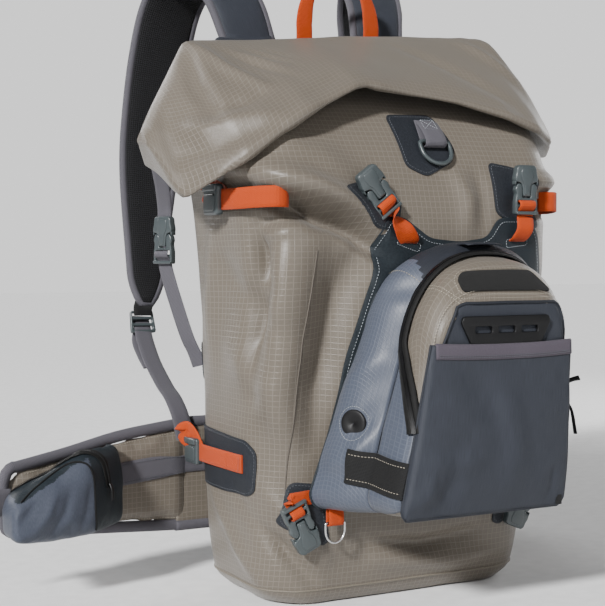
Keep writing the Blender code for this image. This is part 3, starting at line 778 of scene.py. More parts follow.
def joined(name, parts):
    """One mesh from (mesh, matrix) pairs."""
    bm = bmesh.new()
    for mesh, matrix in parts:
        count = len(bm.verts)
        bm.from_mesh(mesh)
        bm.verts.ensure_lookup_table()
        bmesh.ops.transform(bm, matrix=matrix, verts=bm.verts[count:])
    out = bpy.data.meshes.new(name)
    bm.to_mesh(out)
    bm.free()
    return out


def axes_matrix(origin, x, y, z):
    m = Matrix((Vector(x).normalized(), Vector(y).normalized(), Vector(z).normalized())).transposed().to_4x4()
    m.translation = Vector(origin)
    return m


def puff(mesh, voxel, pressure, cap, smooth=4):
    """Inflate a closed soft shape with a short cloth simulation; no point moves farther than cap."""
    obj = bpy.data.objects.new("puffing", mesh)
    SCENE.collection.objects.link(obj)
    remesh = obj.modifiers.new("remesh", "REMESH")
    remesh.mode = "VOXEL"
    remesh.voxel_size = voxel
    bake(obj)
    start = coordinates(obj.data)
    cloth = obj.modifiers.new("cloth", "CLOTH")
    cloth.settings.quality = 5
    cloth.settings.mass = 0.3
    cloth.settings.use_pressure = True
    cloth.settings.uniform_pressure_force = pressure
    cloth.settings.effector_weights.gravity = 0
    cloth.point_cache.frame_start = 1
    cloth.point_cache.frame_end = SWELL_FRAMES
    for f in range(1, SWELL_FRAMES + 1):
        SCENE.frame_set(f)
    bake(obj)
    SCENE.frame_set(1)
    moved = coordinates(obj.data) - start
    far = np.linalg.norm(moved, axis=1, keepdims=True)
    moved *= np.minimum(1.0, cap / np.maximum(far, 1e-9))
    obj.data.vertices.foreach_set("co", (start + moved).ravel())
    evened = obj.modifiers.new("even", "SMOOTH")
    evened.factor = 0.5
    evened.iterations = smooth
    divide(obj)
    bake(obj)
    out = obj.data
    bpy.data.objects.remove(obj)
    out.shade_smooth()
    return out


def planar_uv(mesh, u, v):
    """UVs in metres from two directions."""
    layer = mesh.uv_layers.get("cloth") or mesh.uv_layers.new(name="cloth")
    points = coordinates(mesh)
    flat = np.stack([points @ np.array(u, float), points @ np.array(v, float)], axis=1)
    index = np.empty(len(mesh.loops), int)
    mesh.loops.foreach_get("vertex_index", index)
    layer.data.foreach_set("uv", flat[index].astype(np.float32).ravel())


def paint_faces(mesh, choose):
    """Pick a material slot for each face from its middle and normal."""
    for face in mesh.polygons:
        face.material_index = choose(face.center, face.normal)


# ---------------------------------------------------------------- bag body
def bag_outline(z, count=228):
    """The bag's outline at a height, from the middle of its back and round by the left side."""
    half, front, rear, corner = smooth_row(BAG_SECTIONS, z)
    turn = [(-half + corner, rear - corner, 90), (-half + corner, front + corner, 180),
            (half - corner, front + corner, 270), (half - corner, rear - corner, 0)]
    ring = [Vector((0, rear, z))]
    for cx, cy, start in turn:
        for i in range(13):
            a = math.radians(start + 90 * i / 12)
            ring.append(Vector((cx + corner * math.cos(a), cy + corner * math.sin(a), z)))
    ring = resample(ring, count, closed=True)
    belly = 0.004 * ease(z / 0.08) * ease((0.46 - z) / 0.1)
    for p in ring:
        if p.y < rear - 0.01:
            middle = math.cos(math.pi / 2 * min(1, abs(p.x) / half)) ** 2
            side = math.cos(math.pi / 2 * min(1, abs(p.y - (front + rear) / 2) * 2 / (rear - front))) ** 2
            p.y -= belly * middle if p.y < (front + rear) / 2 else 0
            p.x += math.copysign(belly * side * (abs(p.x) / half) ** 2, p.x)
    return ring


BAG_FOLDS = mm((             # line, width, height of each crease in the bag's cloth
    # the strap that pulls in the upper corners, and the lobes of cloth above it
    ([(-184, -60, 400), (-178, -98, 397), (-156, -112, 390), (-128, -118, 380),
      (-100, -121, 371), (-80, -121, 361), (-56, -122, 340)], 10.5, -33),
    ([(-186, -60, 424), (-180, -96, 420), (-156, -108, 411), (-128, -116, 401),
      (-100, -119, 391), (-79, -120, 381), (-50, -122, 360)], 15, 24),
    ([(-160, -92, 445), (-110, -104, 430), (-60, -112, 400)], 20, 6),
    ([(105, -125, 388), (150, -112, 392), (184, -70, 390), (186, -20, 393)], 10, -15),
    ([(115, -118, 412), (160, -98, 415), (186, -50, 414)], 10, 10.5),
    ([(-183, -80, 366), (-166, -94, 372), (-140, -112, 372)], 4.5, -6),
    ([(-180, -88, 352), (-160, -100, 360), (-130, -116, 366)], 6, 5.4),
    # long soft ridges and valleys of the front left
    ([(-157, -95, 372), (-163, -78, 300), (-160, -70, 210)], 12, -14),
    ([(-140, -110, 360), (-146, -105, 290), (-142, -95, 190)], 22, 9.4),
    ([(-75, -120, 352), (-95, -118, 300), (-112, -110, 210)], 14, -10),
    ([(-175, -20, 370), (-172, 0, 300), (-168, 10, 220)], 18, 8.4),
    ([(-110, -118, 372), (-60, -118, 330), (-50, -115, 260)], 10, 8.4),
    ([(-178, -85, 372), (-170, -90, 345), (-161, -96, 310), (-163, -80, 262)], 9, -15),
    ([(-150, -113, 362), (-153, -108, 320), (-150, -104, 270), (-147, -100, 200)], 22, 9.4),
    ([(-100, -122, 345), (-108, -118, 290), (-118, -112, 215), (-120, -105, 130)], 20, -13.1),
    ([(-165, -40, 250), (-150, -85, 215), (-130, -104, 150)], 20, 9.4),
    ([(-166, -20, 345), (-158, -70, 290), (-135, -108, 262)], 13, -8.4),
    # wrinkles at the base
    ([(-158, -30, 110), (-140, -82, 60), (-110, -90, 26)], 8, -11.2),
    ([(-156, -55, 130), (-128, -94, 85), (-100, -96, 50)], 10, 8.4),
    ([(-158, 20, 100), (-152, -30, 50), (-140, -60, 20)], 9, 7.9),
    ([(-60, -96, 62), (10, -96, 50), (80, -96, 58)], 8, -8.4),
    ([(-40, -94, 40), (50, -92, 30), (120, -85, 36)], 9, 7.2),
    ([(90, -98, 95), (130, -85, 70), (150, -50, 66)], 9, -9),
    ([(150, -70, 120), (158, -30, 105), (160, 30, 112)], 10, -7.9),
    # the upper front, and the right side
    ([(40, -112, 425), (50, -116, 395), (46, -122, 362)], 9, 4.5),
    ([(66, -112, 425), (70, -116, 395), (66, -122, 362)], 8, -3.9),
    ([(165, -80, 360), (172, -30, 330), (168, 20, 260)], 14, -6),
    ([(160, -85, 300), (168, -20, 250), (164, 30, 200)], 14, 5.3),
    ([(-90, 88, 50), (0, 86, 32), (90, 88, 50)], 10, -3),
))

heights = [0.0012, 0.0022, 0.005, 0.009, 0.014] + [0.02 + 0.52 * k / 156 for k in range(157)]
rings = [bag_outline(z) for z in heights]
base = [shrunk(rings[0], s, Vector((0, 0, -0.0009))) for s in (0.02, 0.25, 0.5, 0.75, 0.93)]
bag_mesh = grid_mesh("bag_shell", base + rings, closed=True)
crease(bag_mesh, BAG_FOLDS, wander=0.0016, scale=22.0, seed=3.1)
for vert in bag_mesh.vertices:
    vert.co.z = max(vert.co.z, 0.0002)
    if vert.co.y > 0.083:
        vert.co.y = 0.083
bag = thicken(add("bag_shell", bag_mesh, KHAKI, "bag", ("main_body", "frame_sheet")), 0.0022)
BAG = tree_of(bag)

SIDES = ((-1, "left"), (1, "right"))
FRONT = dict(u=(1, 0, 0), v=(0, 0, 1))
LEFT = dict(u=(0, -1, 0), v=(0, 0, 1))
RIGHT = dict(u=(0, 1, 0), v=(0, 0, 1))

# vertical seam of the front left, and the welded base seam
seam = [Vector((-0.1224, -0.13, 0.345)), Vector((-0.1275, -0.13, 0.31)), Vector((-0.134, -0.13, 0.262)),
        Vector((-0.139, -0.13, 0.18)), Vector((-0.139, -0.13, 0.085))]
spots = dropped(BAG, resample(smooth_path(seam, 6), 90), (0, 1, 0), 0.0002)
tube("bag_front_seam", spots, 0.0007, SEAM, "bag", across=(0, 1, 0), sides=6)
ring = resample(bag_outline(0.016), 200, closed=True)
spots = []
for p in ring:
    out = Vector((p.x, p.y, 0)).normalized()
    found = laid(BAG, [p + out * 0.01], -out, 0.0001)
    spots.append(found[0][0] if found else p)
tube("bag_base_seam", spots, 0.0011, KHAKI_PLAIN, "bag", closed=True, sides=6)

# patches
PATCHES = (               # name, outline, origin, corner radius
    ("patch_ring", [(-35, 25.6), (21.4, 28), (31.3, -8), (23.1, -21.5), (-11.2, -37),
                    (-34, -27)], (17, -200, 453), 7),
    ("patch_upper_left", [(-33, 11), (-4, 17.5), (36, -3), (31, -22), (16, -30),
                          (1, -26.5), (-14, -8.5)], (-65, -200, 393), 5),
    ("patch_upper_right", [(-29, 33), (0, 29), (26.5, 20), (27, -34), (-4, -30),
                           (-28.5, -19)], (112, -200, 400), 7),
)
PAIRED_PATCHES = (        # name, outline and origin on the right side, corner radius
    ("patch_lower_", [(9.5, 38), (20, -2), (-21, -25.5), (-31, -21.5), (-19, 34.5)],
     (127, -200, 87), 8),
    ("patch_side_", [(78, 30), (-58, 24), (-70, 14), (-68, -24), (-56, -31),
                     (78, -32)], (300, 0, 138), 6),
    ("patch_tail_", [(20, 20), (-16, 20), (-10, -18), (12, -22)], (300, 64, 230), 5),
)


def weld_patch(name, outline, origin, plane, radius):
    sewn_patch(name, BAG, outline, origin, plane["u"], plane["v"], PATCH, "bag", radius, thread=THREAD_PATCH)


for name, outline, origin, radius in mm(PATCHES):
    weld_patch(name, outline, origin, FRONT, radius)
for name, outline, origin, radius in mm(PAIRED_PATCHES):
    for side, end in SIDES:
        plane = FRONT if name == "patch_lower_" else LEFT if side < 0 else RIGHT
        weld_patch(name + end, [(side * x, y) for x, y in outline], (side * origin[0], *origin[1:]), plane,
                   radius)

# ---------------------------------------------------------------- rolled closure
def roll_ring(x):
    """One slice of the rolled hood, from its rear edge over the ridge to the rolled lip."""
    table = np.array(ROLL_STATIONS)
    near = [[np.interp(x + shift, table[:, 0], table[:, k]) for shift in (-0.0025, 0.0, 0.0025)]
            for k in range(1, 7)]
    ridge_y, ridge_z, front_y, front_z, rear_y, rear_z = (float(sum(v)) / 3 for v in near)
    solid = ease((abs(x) - 0.188) / 0.022)
    size = min(1.0, math.hypot(ridge_y - rear_y, ridge_z - rear_z) / 0.035)
    slab = ROLL_THICK * 0.5 * size
    mid_y, mid_z = mix(ridge_y, front_y, 0.5) - 0.007 * size, mix(ridge_z, front_z, 0.5) + 0.008 * size
    hollow = [(front_y + ROLL_THICK, front_z + 0.004), (ridge_y - 0.018, ridge_z - 0.021),
              (rear_y - 0.007, rear_z)]
    full = [(mix(front_y, rear_y, 0.3), mix(front_z, rear_z, 0.3) + 0.001),
            (mix(front_y, rear_y, 0.55), mix(front_z, rear_z, 0.55) + 0.002),
            (mix(front_y, rear_y, 0.8), mix(front_z, rear_z, 0.8) + 0.001)]
    inner = [(mix(a[0], b[0], solid), mix(a[1], b[1], solid)) for a, b in zip(hollow, full)]
    outline = [(rear_y, rear_z), (ridge_y + 0.018 * size, ridge_z - 0.012 * size), (ridge_y + 0.001, ridge_z),
               (ridge_y - 0.002, ridge_z), (ridge_y - 0.022 * size, ridge_z - 0.008 * size), (mid_y, mid_z),
               (mix(mid_y, front_y, 0.6), mix(mid_z, front_z + slab, 0.6) + 0.003 * size),
               (front_y - 0.001, front_z + slab), (front_y + 0.001, front_z)] + inner
    loop = chaikin([Vector((x, y, z)) for y, z in outline], 3)
    return resample(loop, 96, closed=True)


rolls = [roll_ring(-0.2465 + 0.4855 * k / 150) for k in range(151)]
rolls = ([shrunk(rolls[0], s) for s in (0.05, 0.5, 0.85)] + rolls
         + [shrunk(rolls[-1], s) for s in (0.85, 0.5, 0.05)])
roll_mesh = grid_mesh("roll_hood", rolls, closed=True, caps=True)
ROLL_FOLDS = mm((
    # flattened facets and fine pulls at the left end
    ([(-186, 30, 548), (-196, -10, 505), (-190, -50, 470)], 9, -6.8),
    ([(-190, -45, 474), (-165, -60, 485), (-140, -60, 500)], 7, -5.4),
    ([(-180, 30, 552), (-165, -10, 525), (-140, -55, 500)], 8, 5.9),
    ([(-222, -25, 462), (-205, -55, 460), (-150, -90, 474)], 10, 6.5),
    ([(-222, -40, 436), (-200, -72, 436), (-150, -100, 458)], 8, -4.6),
    ([(-160, 30, 556), (-135, -10, 532), (-105, -60, 506)], 4.5, -3.2),
    ([(-148, 30, 557), (-122, -10, 533), (-95, -55, 510)], 4, 2.4),
    ([(-134, 30, 558), (-108, -10, 535), (-85, -50, 514)], 4, -2.4),
    ([(-116, 30, 560), (-90, -15, 533), (-66, -60, 512)], 4, -1.6),
    ([(-230, -40, 412), (-180, -95, 436), (-110, -100, 482)], 7, 4.1),
    ([(-110, -85, 488), (-75, -70, 505), (-48, -82, 505)], 8, -4.1),
    # the right end
    ([(50, 20, 572), (90, -35, 538), (140, -80, 495)], 12, -4.6),
    ([(150, 30, 576), (175, -10, 535), (195, -45, 480)], 9, 5.4),
    ([(185, 30, 560), (205, 0, 520), (215, -20, 470)], 9, -4.9),
    ([(-20, -80, 505), (60, -80, 500), (140, -85, 485)], 7, -3.2),
    ([(-100, 85, 552), (0, 85, 560), (100, 85, 556)], 7, -2.4),
))
crease(roll_mesh, ROLL_FOLDS, wander=0.0016, scale=16.0, seed=8.4)
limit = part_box("roll_top")[1].z
for vert in roll_mesh.vertices:
    vert.co.z = min(vert.co.z, limit)
add("roll_hood", roll_mesh, KHAKI, "closure", "roll_top")

collar_rows = []
for k in range(15):
    z = mix(0.4305, 0.5395, k / 14)
    ring = [Vector((x, y, z)) for x, y in rounded(rectangle(-0.1515, 0.0265, 0.1515, 0.0535), 0.012, 4)]
    collar_rows.append(resample(ring, 120, closed=True))
collar_mesh = grid_mesh("neck_sleeve", collar_rows, closed=True)
crease(collar_mesh, (), wander=0.0008, scale=30.0)
thicken(add("neck_sleeve", collar_mesh, KHAKI, "closure", "closure_collar"), 0.001, -1.0)


# ---------------------------------------------------------------- buckles
def arc_points(cx, cy, radius, start, stop, count=6):
    return [(cx + radius * math.cos(math.radians(mix(start, stop, k / count))),
             cy + radius * math.sin(math.radians(mix(start, stop, k / count)))) for k in range(count + 1)]


def mirrored(points):
    """A symmetric outline from its right half, given bottom to top."""
    return points + [(-x, y) for x, y in reversed(points)]


# local axes of a buckle: x across, y along the clip's travel from the socket's mouth, z outwards
SOCKET_RIM = mirrored([(0.0045, 0.0035), (0.005, -0.004), (0.0062, -0.0088), (0.0096, -0.0105),
                       (0.0136, -0.0112),
                       (0.014, -0.015), (0.0126, -0.02), (0.012, -0.0255), (0.0092, -0.0278)])
socket_core = plate("socket_core", [rounded(SOCKET_RIM, 0.0016, 3)], 0.008, 0.0014)
socket_ridge = plate("socket_ridge", [rounded(mirrored([(0.003, 0.002), (0.0034, -0.008), (0.0062, -0.0125),
                                                        (0.008, -0.02), (0.006, -0.025)]), 0.002, 3)], 0.0022,
                     0.0007)
socket_cheek = plate("socket_cheek", [rounded([(0.0126, -0.012), (0.014, -0.012), (0.014, -0.0085),
                                               (0.013, -0.008)], 0.0006, 2)], 0.006, 0.0004)
CLIP_RIM = mirrored([(0.0052, 0.005), (0.0052, -0.006), (0.007, -0.009), (0.0102, -0.0096), (0.0122, -0.007),
                     (0.0136, -0.003), (0.012, 0.001), (0.0128, 0.005), (0.0136, 0.009), (0.0136, 0.0205),
                     (0.0125, 0.0218)][::-1])
CLIP_WINDOW = rectangle(-0.0105, 0.0078, 0.0105, 0.0118)
CLIP_SLOT = rectangle(-0.0105, 0.0148, 0.0105, 0.0186)
clip_core = plate("clip_core", [rounded(CLIP_RIM, 0.0015, 3), rounded(CLIP_WINDOW, 0.0008, 2)[::-1],
                                rounded(CLIP_SLOT, 0.0008, 2)[::-1]], 0.0066, 0.0012)
clip_bar = plate("clip_bar", [rounded(rectangle(-0.0134, 0.0184, 0.0134, 0.0216), 0.0012, 3)], 0.0034, 0.0008)
SOCKET = joined("socket", [(socket_core, Matrix()), (socket_ridge, Matrix.Translation((0, 0, 0.0036))),
                           (socket_cheek, Matrix()), (socket_cheek, Matrix.Scale(-1, 4, (1, 0, 0)))])
CLIP = joined("clip", [(clip_core, Matrix()), (clip_bar, Matrix.Translation((0, 0, 0.003)))])


def buckle(name, part, mouth, along, out, body, node):
    """Set a buckle half on its mouth, pointing along its travel, its face outwards."""
    along, out = Vector(along).normalized(), Vector(out)
    out = (out - along * out.dot(along)).normalized()
    mesh = joined(name, [(part, axes_matrix(mouth, along.cross(out), along, out))])
    bm = bmesh.new()
    bm.from_mesh(mesh)
    bmesh.ops.recalc_face_normals(bm, faces=bm.faces)
    bm.to_mesh(mesh)
    bm.free()
    shade(mesh, MOULDED_EDGE)
    return add(name, mesh, PLASTIC, body, node)


def lock(name, middle, u, v, out, body, node, size=(0.03, 0.03, 0.01)):
    """A cam lock: a rounded block with a lifting lip and a raised face."""
    w, h, t = size[0] / 2, size[1] / 2, size[2]
    block = plate("block", [rounded(rectangle(-w, -h, w, h), 0.004, 4)], t * 0.8, 0.0022)
    lip = plate("lip", [rounded([(-w * 0.93, h - 0.007), (w * 0.93, h - 0.007), (w * 0.9, h - 0.0002),
                                 (-w * 0.9, h - 0.0002)], 0.002, 3)], 0.0044, 0.0012)
    face = plate("face", [rounded(rectangle(-w * 0.78, -h * 0.75, w * 0.78, h * 0.35), 0.003, 3)], 0.002,
                 0.0007)
    turned = axes_matrix(middle, u, v, out)
    mesh = joined(name, [(block, turned @ Matrix.Translation((0, 0, -t * 0.1))),
                         (lip, turned @ Matrix.Translation((0, 0, t * 0.3))),
                         (face, turned @ Matrix.Translation((0, 0, t * 0.33)))])
    shade(mesh, MOULDED_EDGE)
    return add(name, mesh, PLASTIC, body, node)


# side buckles of the closure, and the webbing tails below them
for side, name in SIDES:
    mouth = Vector((side * 0.186, 0.092, 0.352))
    flat, out = Vector((0.35 * side, 0.94, 0)).normalized(), Vector((side * 0.94, -0.35, 0)).normalized()
    buckle("roll_socket_" + name, SOCKET, mouth, (0, 0, -1), out, "closure", "roll_buckle_" + name)
    buckle("roll_prong_" + name, CLIP, mouth, (0, 0, -1), out, "roll_clip_" + name, "roll_clip_" + name)
    upper = sided(side, mm([(186, 92, 377), (187.5, 88.5, 390), (195, 76, 410), (205, 62, 430),
                            (211, 54, 446), (213, 48, 460 if side < 0 else 474)]))
    strap("roll_web_" + name, smooth_path(upper, 6), flat, GREY_WEB, "closure",
          stands_for="roll_strap_" + name)
    lower = [mouth + Vector((0, 0, -0.0085)) + out * 0.0045, mouth + Vector((0, 0, -0.013)) + out * 0.0052,
             mouth + Vector((0, 0, -0.018)), mouth + Vector((side * -0.002, -0.001, -0.03))]
    lower += sided(side, mm([(179, 83, 295), (170, 72, 256), (163, 68, 238), (158.5, 66, 224)]))
    tail = strap("roll_tail_" + name, smooth_path(lower, 6), flat, GREY_WEB, None)
    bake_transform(tail)

# compression straps round the upper corners and across the lower sides
for side, name in SIDES:
    plane = LEFT if side < 0 else RIGHT
    inward = Vector((-side, 0, 0))
    high = sided(side, mm([(146, -109, 394.5), (152, -115, 394.5), (163, -114, 394.5), (175.5, -99, 394),
                           (185, -76, 393), (188.5, -50, 393)]))
    strap("high_web_" + name, smooth_path(high, 6), (0, 0, 1), ORANGE, "bag", 0.02, 0.0016,
          "high_strap_" + name)
    loop = sided(side, mm([(184, -56, 394.5), (183, -40, 401), (183.5, -26, 403.5), (188, -16, 401),
                           (187, -23, 395)]))
    strap("high_loop_" + name, smooth_path(loop, 6), (0, 0.15, 1), ORANGE, "bag", 0.018, 0.0014)
    lock("high_cam_" + name, (side * 0.1912, -0.039, 0.393), plane["u"], plane["v"], (side, 0, 0), "bag",
         "high_lock_" + name)
    low = dropped(BAG, [Vector((side * 0.3, y, 0.138)) for y in (-0.053, -0.047, -0.036, -0.02)], inward,
                  0.002)
    low += sided(side, [(0.1695, 0.01, 0.138), (0.169, 0.043, 0.138)])
    strap("low_web_" + name, smooth_path(low, 6), (0, 0, 1), ORANGE, "bag", 0.018, 0.0016,
          "low_strap_" + name)
    loop = sided(side, mm([(169, 40, 140), (170.5, 52, 153), (172, 65, 159), (176, 72, 156),
                           (174.5, 66, 150), (170, 56, 148)]))
    strap("low_loop_" + name, smooth_path(loop, 6), (0, 0.15, 1), ORANGE, "bag", 0.016, 0.0014)
    lock("low_cam_" + name, (side * 0.1705, 0.056, 0.138), plane["u"], plane["v"], (side, 0, 0), "bag",
         "low_lock_" + name, (0.03, 0.027, 0.01))
    for k, y in enumerate((-0.05, -0.024)):
        sew("low_bar_%s_%d" % (name, k), BAG, [[Vector((side * 0.2, y, 0.1305)),
                                                Vector((side * 0.2, y, 0.1455))]],
            inward, 0.0046 + 0.0004 * k, "bag", THREAD_DARK if k == 0 else ORANGE, pitch=0.0016)

# webbing tab and D-ring on the upper front
foot = Vector((0.022, -0.0924, 0.452))
up, out = Vector((0, 0.5, 0.866)), Vector((0, -0.866, 0.5))
route = [(0.024, 0.0024), (0.01, 0.0024), (-0.004, 0.0022), (-0.008, 0.0036), (-0.0092, 0.0065),
         (-0.008, 0.0095), (-0.004, 0.0112), (0.006, 0.0098), (0.02, 0.0052)]
tab = [foot + up * a + out * b for a, b in route]
strap("ring_tab_web", smooth_path(tab, 5), (1, 0, 0), GREY_WEB, "bag", 0.0245, 0.0014, "ring_tab")
box = rectangle(-0.0075, 0.0225, 0.0075, 0.0095)
for k, (a, b) in enumerate(((0, 1), (1, 2), (2, 3), (3, 0), (0, 2), (1, 3))):
    ends = [foot + Vector((x, 0, 0)) + up * z + out * mix(0.0102, 0.006, (z - 0.006) / 0.0165)
            for x, z in (box[a], box[b])]
    add("ring_tab_stitch_%d" % k, stitch_mesh("s", [(p, out) for p in resample(ends, 8)], pitch=0.0022),
        THREAD, "bag")
bar = foot + up * -0.0035 + out * 0.0065
places = [bar + Vector((x, 0, 0)) - up * z for x, z in d_outline(0.017, 0.026, 0.0004, 0.0003)]
tube("top_ring_wire", resample(chaikin(places, 1), 64, closed=True), 0.0021, PLASTIC, "top_ring", closed=True,
     sides=12, across=out, stands_for="top_d_ring")

# ---------------------------------------------------------------- chest pack
def lean(z):
    return 0.13 * (z - PACK_BOTTOM)


def pack_rear(z):
    return -0.1092 - 0.09 * (z - PACK_BOTTOM)


def arch(bottom, shoulder, top, half_bottom, half_top, power, corner=0.018, count=RIM_POINTS):
    """Outline (x, z) from the bottom middle: rounded bottom corners, tapering sides, an arched top."""
    right = [(0.0, bottom)]
    right += arc_points(half_bottom - corner, bottom + corner, corner, -90, 0, 8)
    right.append((mix(half_bottom, half_top, 0.5) + 0.002, mix(bottom, shoulder, 0.55)))
    for i in range(30):
        a = math.pi / 2 * i / 30
        right.append((half_top * math.cos(a) ** (2 / power),
                      shoulder + (top - shoulder) * math.sin(a) ** (2 / power)))
    loop = right + [(0.0, top)] + [(-x, z) for x, z in reversed(right[1:])]
    return [(p.x, p.y) for p in resample([(x, z, 0) for x, z in loop], count, closed=True)]


def pack_ring(depth, outline):
    return [Vector((x + lean(z), depth, z)) for x, z in outline]


REAR_OUTLINE = arch(PACK_BOTTOM, 0.27, 0.345, 0.126, 0.094, 2.4)
RIM_OUTLINE = arch(*RIM)

# laminated harness panel behind the pack, with slots for the orange straps
EARS = mm([(-110, 128), (112, 128), (138, 250), (141, 318), (137, 360), (124, 377), (86, 377), (70, 357),
           (36, 353), (0, 356), (-30, 377), (-56, 372), (-66, 318), (-86, 250)])
harness = sewn_patch("harness_sheet", BAG, EARS, (0, -0.3, 0), (1, 0, 0), (0, 0, 1), TEAL, "chest_pack",
                     0.008, 0.002, inset=0.0045, stands_for="harness_panel", step=0.01)
HARNESS = tree_of(harness)
for name, x, z, tilt in (("left", -0.0255, 0.3505, 18), ("right", 0.106, 0.3525, -6)):
    turned = Matrix.Rotation(math.radians(tilt), 3, "Y")
    line = [Vector((x, -0.3, z)) + turned @ Vector((a, 0, b))
            for a, b in rectangle(-0.0135, -0.004, 0.0135, 0.004)]
    sew("harness_slot_" + name, HARNESS, [line + line[:1]], (0, 1, 0), 0.0003, "chest_pack", THREAD,
        pitch=0.0026)

# the pack's tray: sides of slate cloth, a darker collar over the top
tray_rows = []
for k in range(26):
    t = k / 25
    swell = 0.01 * math.sin(math.pi * t) ** 0.8
    row = []
    for (xa, za), (xb, zb) in zip(REAR_OUTLINE, RIM_OUTLINE):
        a, b = Vector((xa + lean(za), pack_rear(za), za)), Vector((xb + lean(zb), ZIP_Y + 0.0004, zb))
        p = a.lerp(b, t)
        middle = Vector((lean(0.21), p.y, 0.21))
        row.append(p + (p - middle).normalized() * swell * (0.25 + 0.75 * ease((p.z - 0.1) / 0.08)))
    tray_rows.append(row)
back = [shrunk(tray_rows[0], s) for s in (0.02, 0.3, 0.6, 0.9)]
tray_mesh = grid_mesh("pack_tray", back + tray_rows, closed=True, flip=True)
TRAY_FOLDS = mm((
    ([(-118, -125, 150), (-104, -150, 150), (-94, -170, 175)], 10, -4.6),
    ([(-106, -128, 175), (-95, -150, 178), (-88, -168, 200)], 9, 3.9),
    ([(-98, -122, 215), (-86, -145, 235), (-78, -168, 250)], 12, -3.3),
    ([(-60, -130, 290), (-55, -150, 305), (-45, -170, 312)], 10, 3.3),
    ([(112, -125, 160), (108, -150, 170), (100, -170, 150)], 10, -3.9),
    ([(130, -125, 230), (118, -150, 240), (108, -170, 225)], 12, 3.3),
))
crease(tray_mesh, TRAY_FOLDS, wander=0.001, scale=32.0, seed=5.0)
paint_faces(tray_mesh, lambda c, n: 1 if c.z > 0.262 and -0.064 < c.x - lean(c.z) < 0.07 else 0)
tray = thicken(add("pack_tray", tray_mesh, (SLATE, COLLAR), "chest_pack", "chest_body"), 0.0016,
               1.0)
TRAY = tree_of(tray)
tube("tray_piping", [Vector((p.x, p.y - 0.0012, p.z)) for p in tray_rows[0]], 0.0014, TEAL, "chest_pack",
     closed=True, sides=8, across=(0, 1, 0))
for name, x_at in (("left", -0.064), ("right", 0.07)):
    column = min(range(100, RIM_POINTS) if x_at < 0 else range(10, 104),
                 key=lambda i: abs(RIM_OUTLINE[i][0] - x_at) + (1 if RIM_OUTLINE[i][1] < 0.26 else 0))
    line = [row[column] for row in tray_rows[1:-1]]
    out = (line[len(line) // 2] - Vector((lean(0.21), -0.14, 0.21))).normalized()
    sew("collar_seam_" + name, TRAY, [line], -out, 0.0005, "chest_pack", THREAD_KHAKI, pitch=0.003)

# zip garage flap over the top of the arch
rows = [[Vector((x + 0.031, y, 0.349 - 0.6 * (x / 0.05) ** 2 * 0.01 + lift))
         for x in (-0.02, -0.012, 0.0, 0.012, 0.02)]
        for y, lift in ((-0.14, -0.004), (-0.15, 0.0), (-0.16, 0.0018), (-0.168, 0.0022), (-0.174, 0.0012))]
thicken(add("zip_garage", grid_mesh("zip_garage", rows, flip=True), COLLAR, "chest_pack"), 0.0012, 1.0)

# magnet disc in a stitched ring
normal = Vector((-0.92, -0.385, 0.05)).normalized()
centre = Vector((-0.0925, -0.1445, 0.184))
hub, normal = laid(TRAY, [centre + normal * 0.02], -normal, 0.0)[0]
side = normal.cross(Vector((0, 0, 1))).normalized()
upward = side.cross(normal).normalized()
dish = [(0.0, 0.0002), (0.0014, 0.0002), (0.0018, 0.0008), (0.0095, 0.0009), (0.0118, 0.0009),
        (0.0128, 0.0004), (0.0132, -0.001)]
rows = [[hub + (side * math.cos(a) + upward * math.sin(a)) * max(r, 0.0002) + normal * h
         for a in (2 * math.pi * k / 48 for k in range(48))] for r, h in dish]
add("magnet_button", grid_mesh("magnet_button", rows, closed=True, flip=True), RUBBER, "chest_pack",
    "magnet_disc")
circle = [hub + (side * math.cos(a) + upward * math.sin(a)) * 0.0158
          for a in (2 * math.pi * k / 60 for k in range(61))]
sew("magnet_stitch", TRAY, [circle], -normal, 0.0004, "chest_pack", THREAD, pitch=0.0024)

# orange straps from the harness to the chest clips
CHEST_BUCKLES = (
    ("upper_left", (-0.06, -0.13, 0.398), (0.6, 0, -0.8), (-0.026, -0.1275, 0.351)),
    ("upper_right", (0.112, -0.13, 0.402), (0.0, 0, -1.0), (0.106, -0.1275, 0.354)),
    ("lower_left", (-0.13, -0.1035, 0.085), (-0.4, 0, 0.917), (-0.1, -0.104, 0.112)),
    ("lower_right", (0.13, -0.1035, 0.085), (0.4, 0, 0.917), (0.1, -0.104, 0.112)),
)
for name, mouth, direction, end in CHEST_BUCKLES:
    mouth, along, out, end = Vector(mouth), Vector(direction).normalized(), Vector((0, -1, 0)), Vector(end)
    buckle("chest_socket_" + name, SOCKET, mouth, along, out, "bag", "socket_" + name)
    buckle("chest_prong_" + name, CLIP, mouth, along, out, "clip_" + name, "clip_" + name)
    across = along.cross(out)

    def at(y, z, base=mouth, ahead=along, outward=out):
        return base + ahead * y + outward * z
    upper = name.startswith("upper")
    stop = end + Vector((0, 0.003, 0)) if upper else end
    route = [at(0.01, -0.003), at(0.0082, 0.001), at(0.0092, 0.0046), at(0.0125, 0.0056), at(0.0155, 0.0036),
             at(0.019, 0.0002), at(0.024, 0.0004)]
    if upper:
        route += [at(0.024, 0.0004).lerp(end, 0.5) + Vector((0, -0.0055, 0)),
                  end + Vector((0, -0.003, 0.003)), stop]
    else:
        route += [at(0.0262, 0.0012), at(0.0262, 0.0012).lerp(end, 0.5), stop]
    path = smooth_path(route, 6)
    sides = [across.lerp(Vector((1, 0, 0)) if upper else across, ease(i / len(path) * 1.4 - 0.4))
             for i in range(len(path))]
    web = strap("chest_web_" + name, path, sides, ORANGE, None, 0.0196 if upper else 0.014, 0.0018,
                "pack_strap_" + name)
    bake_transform(web)

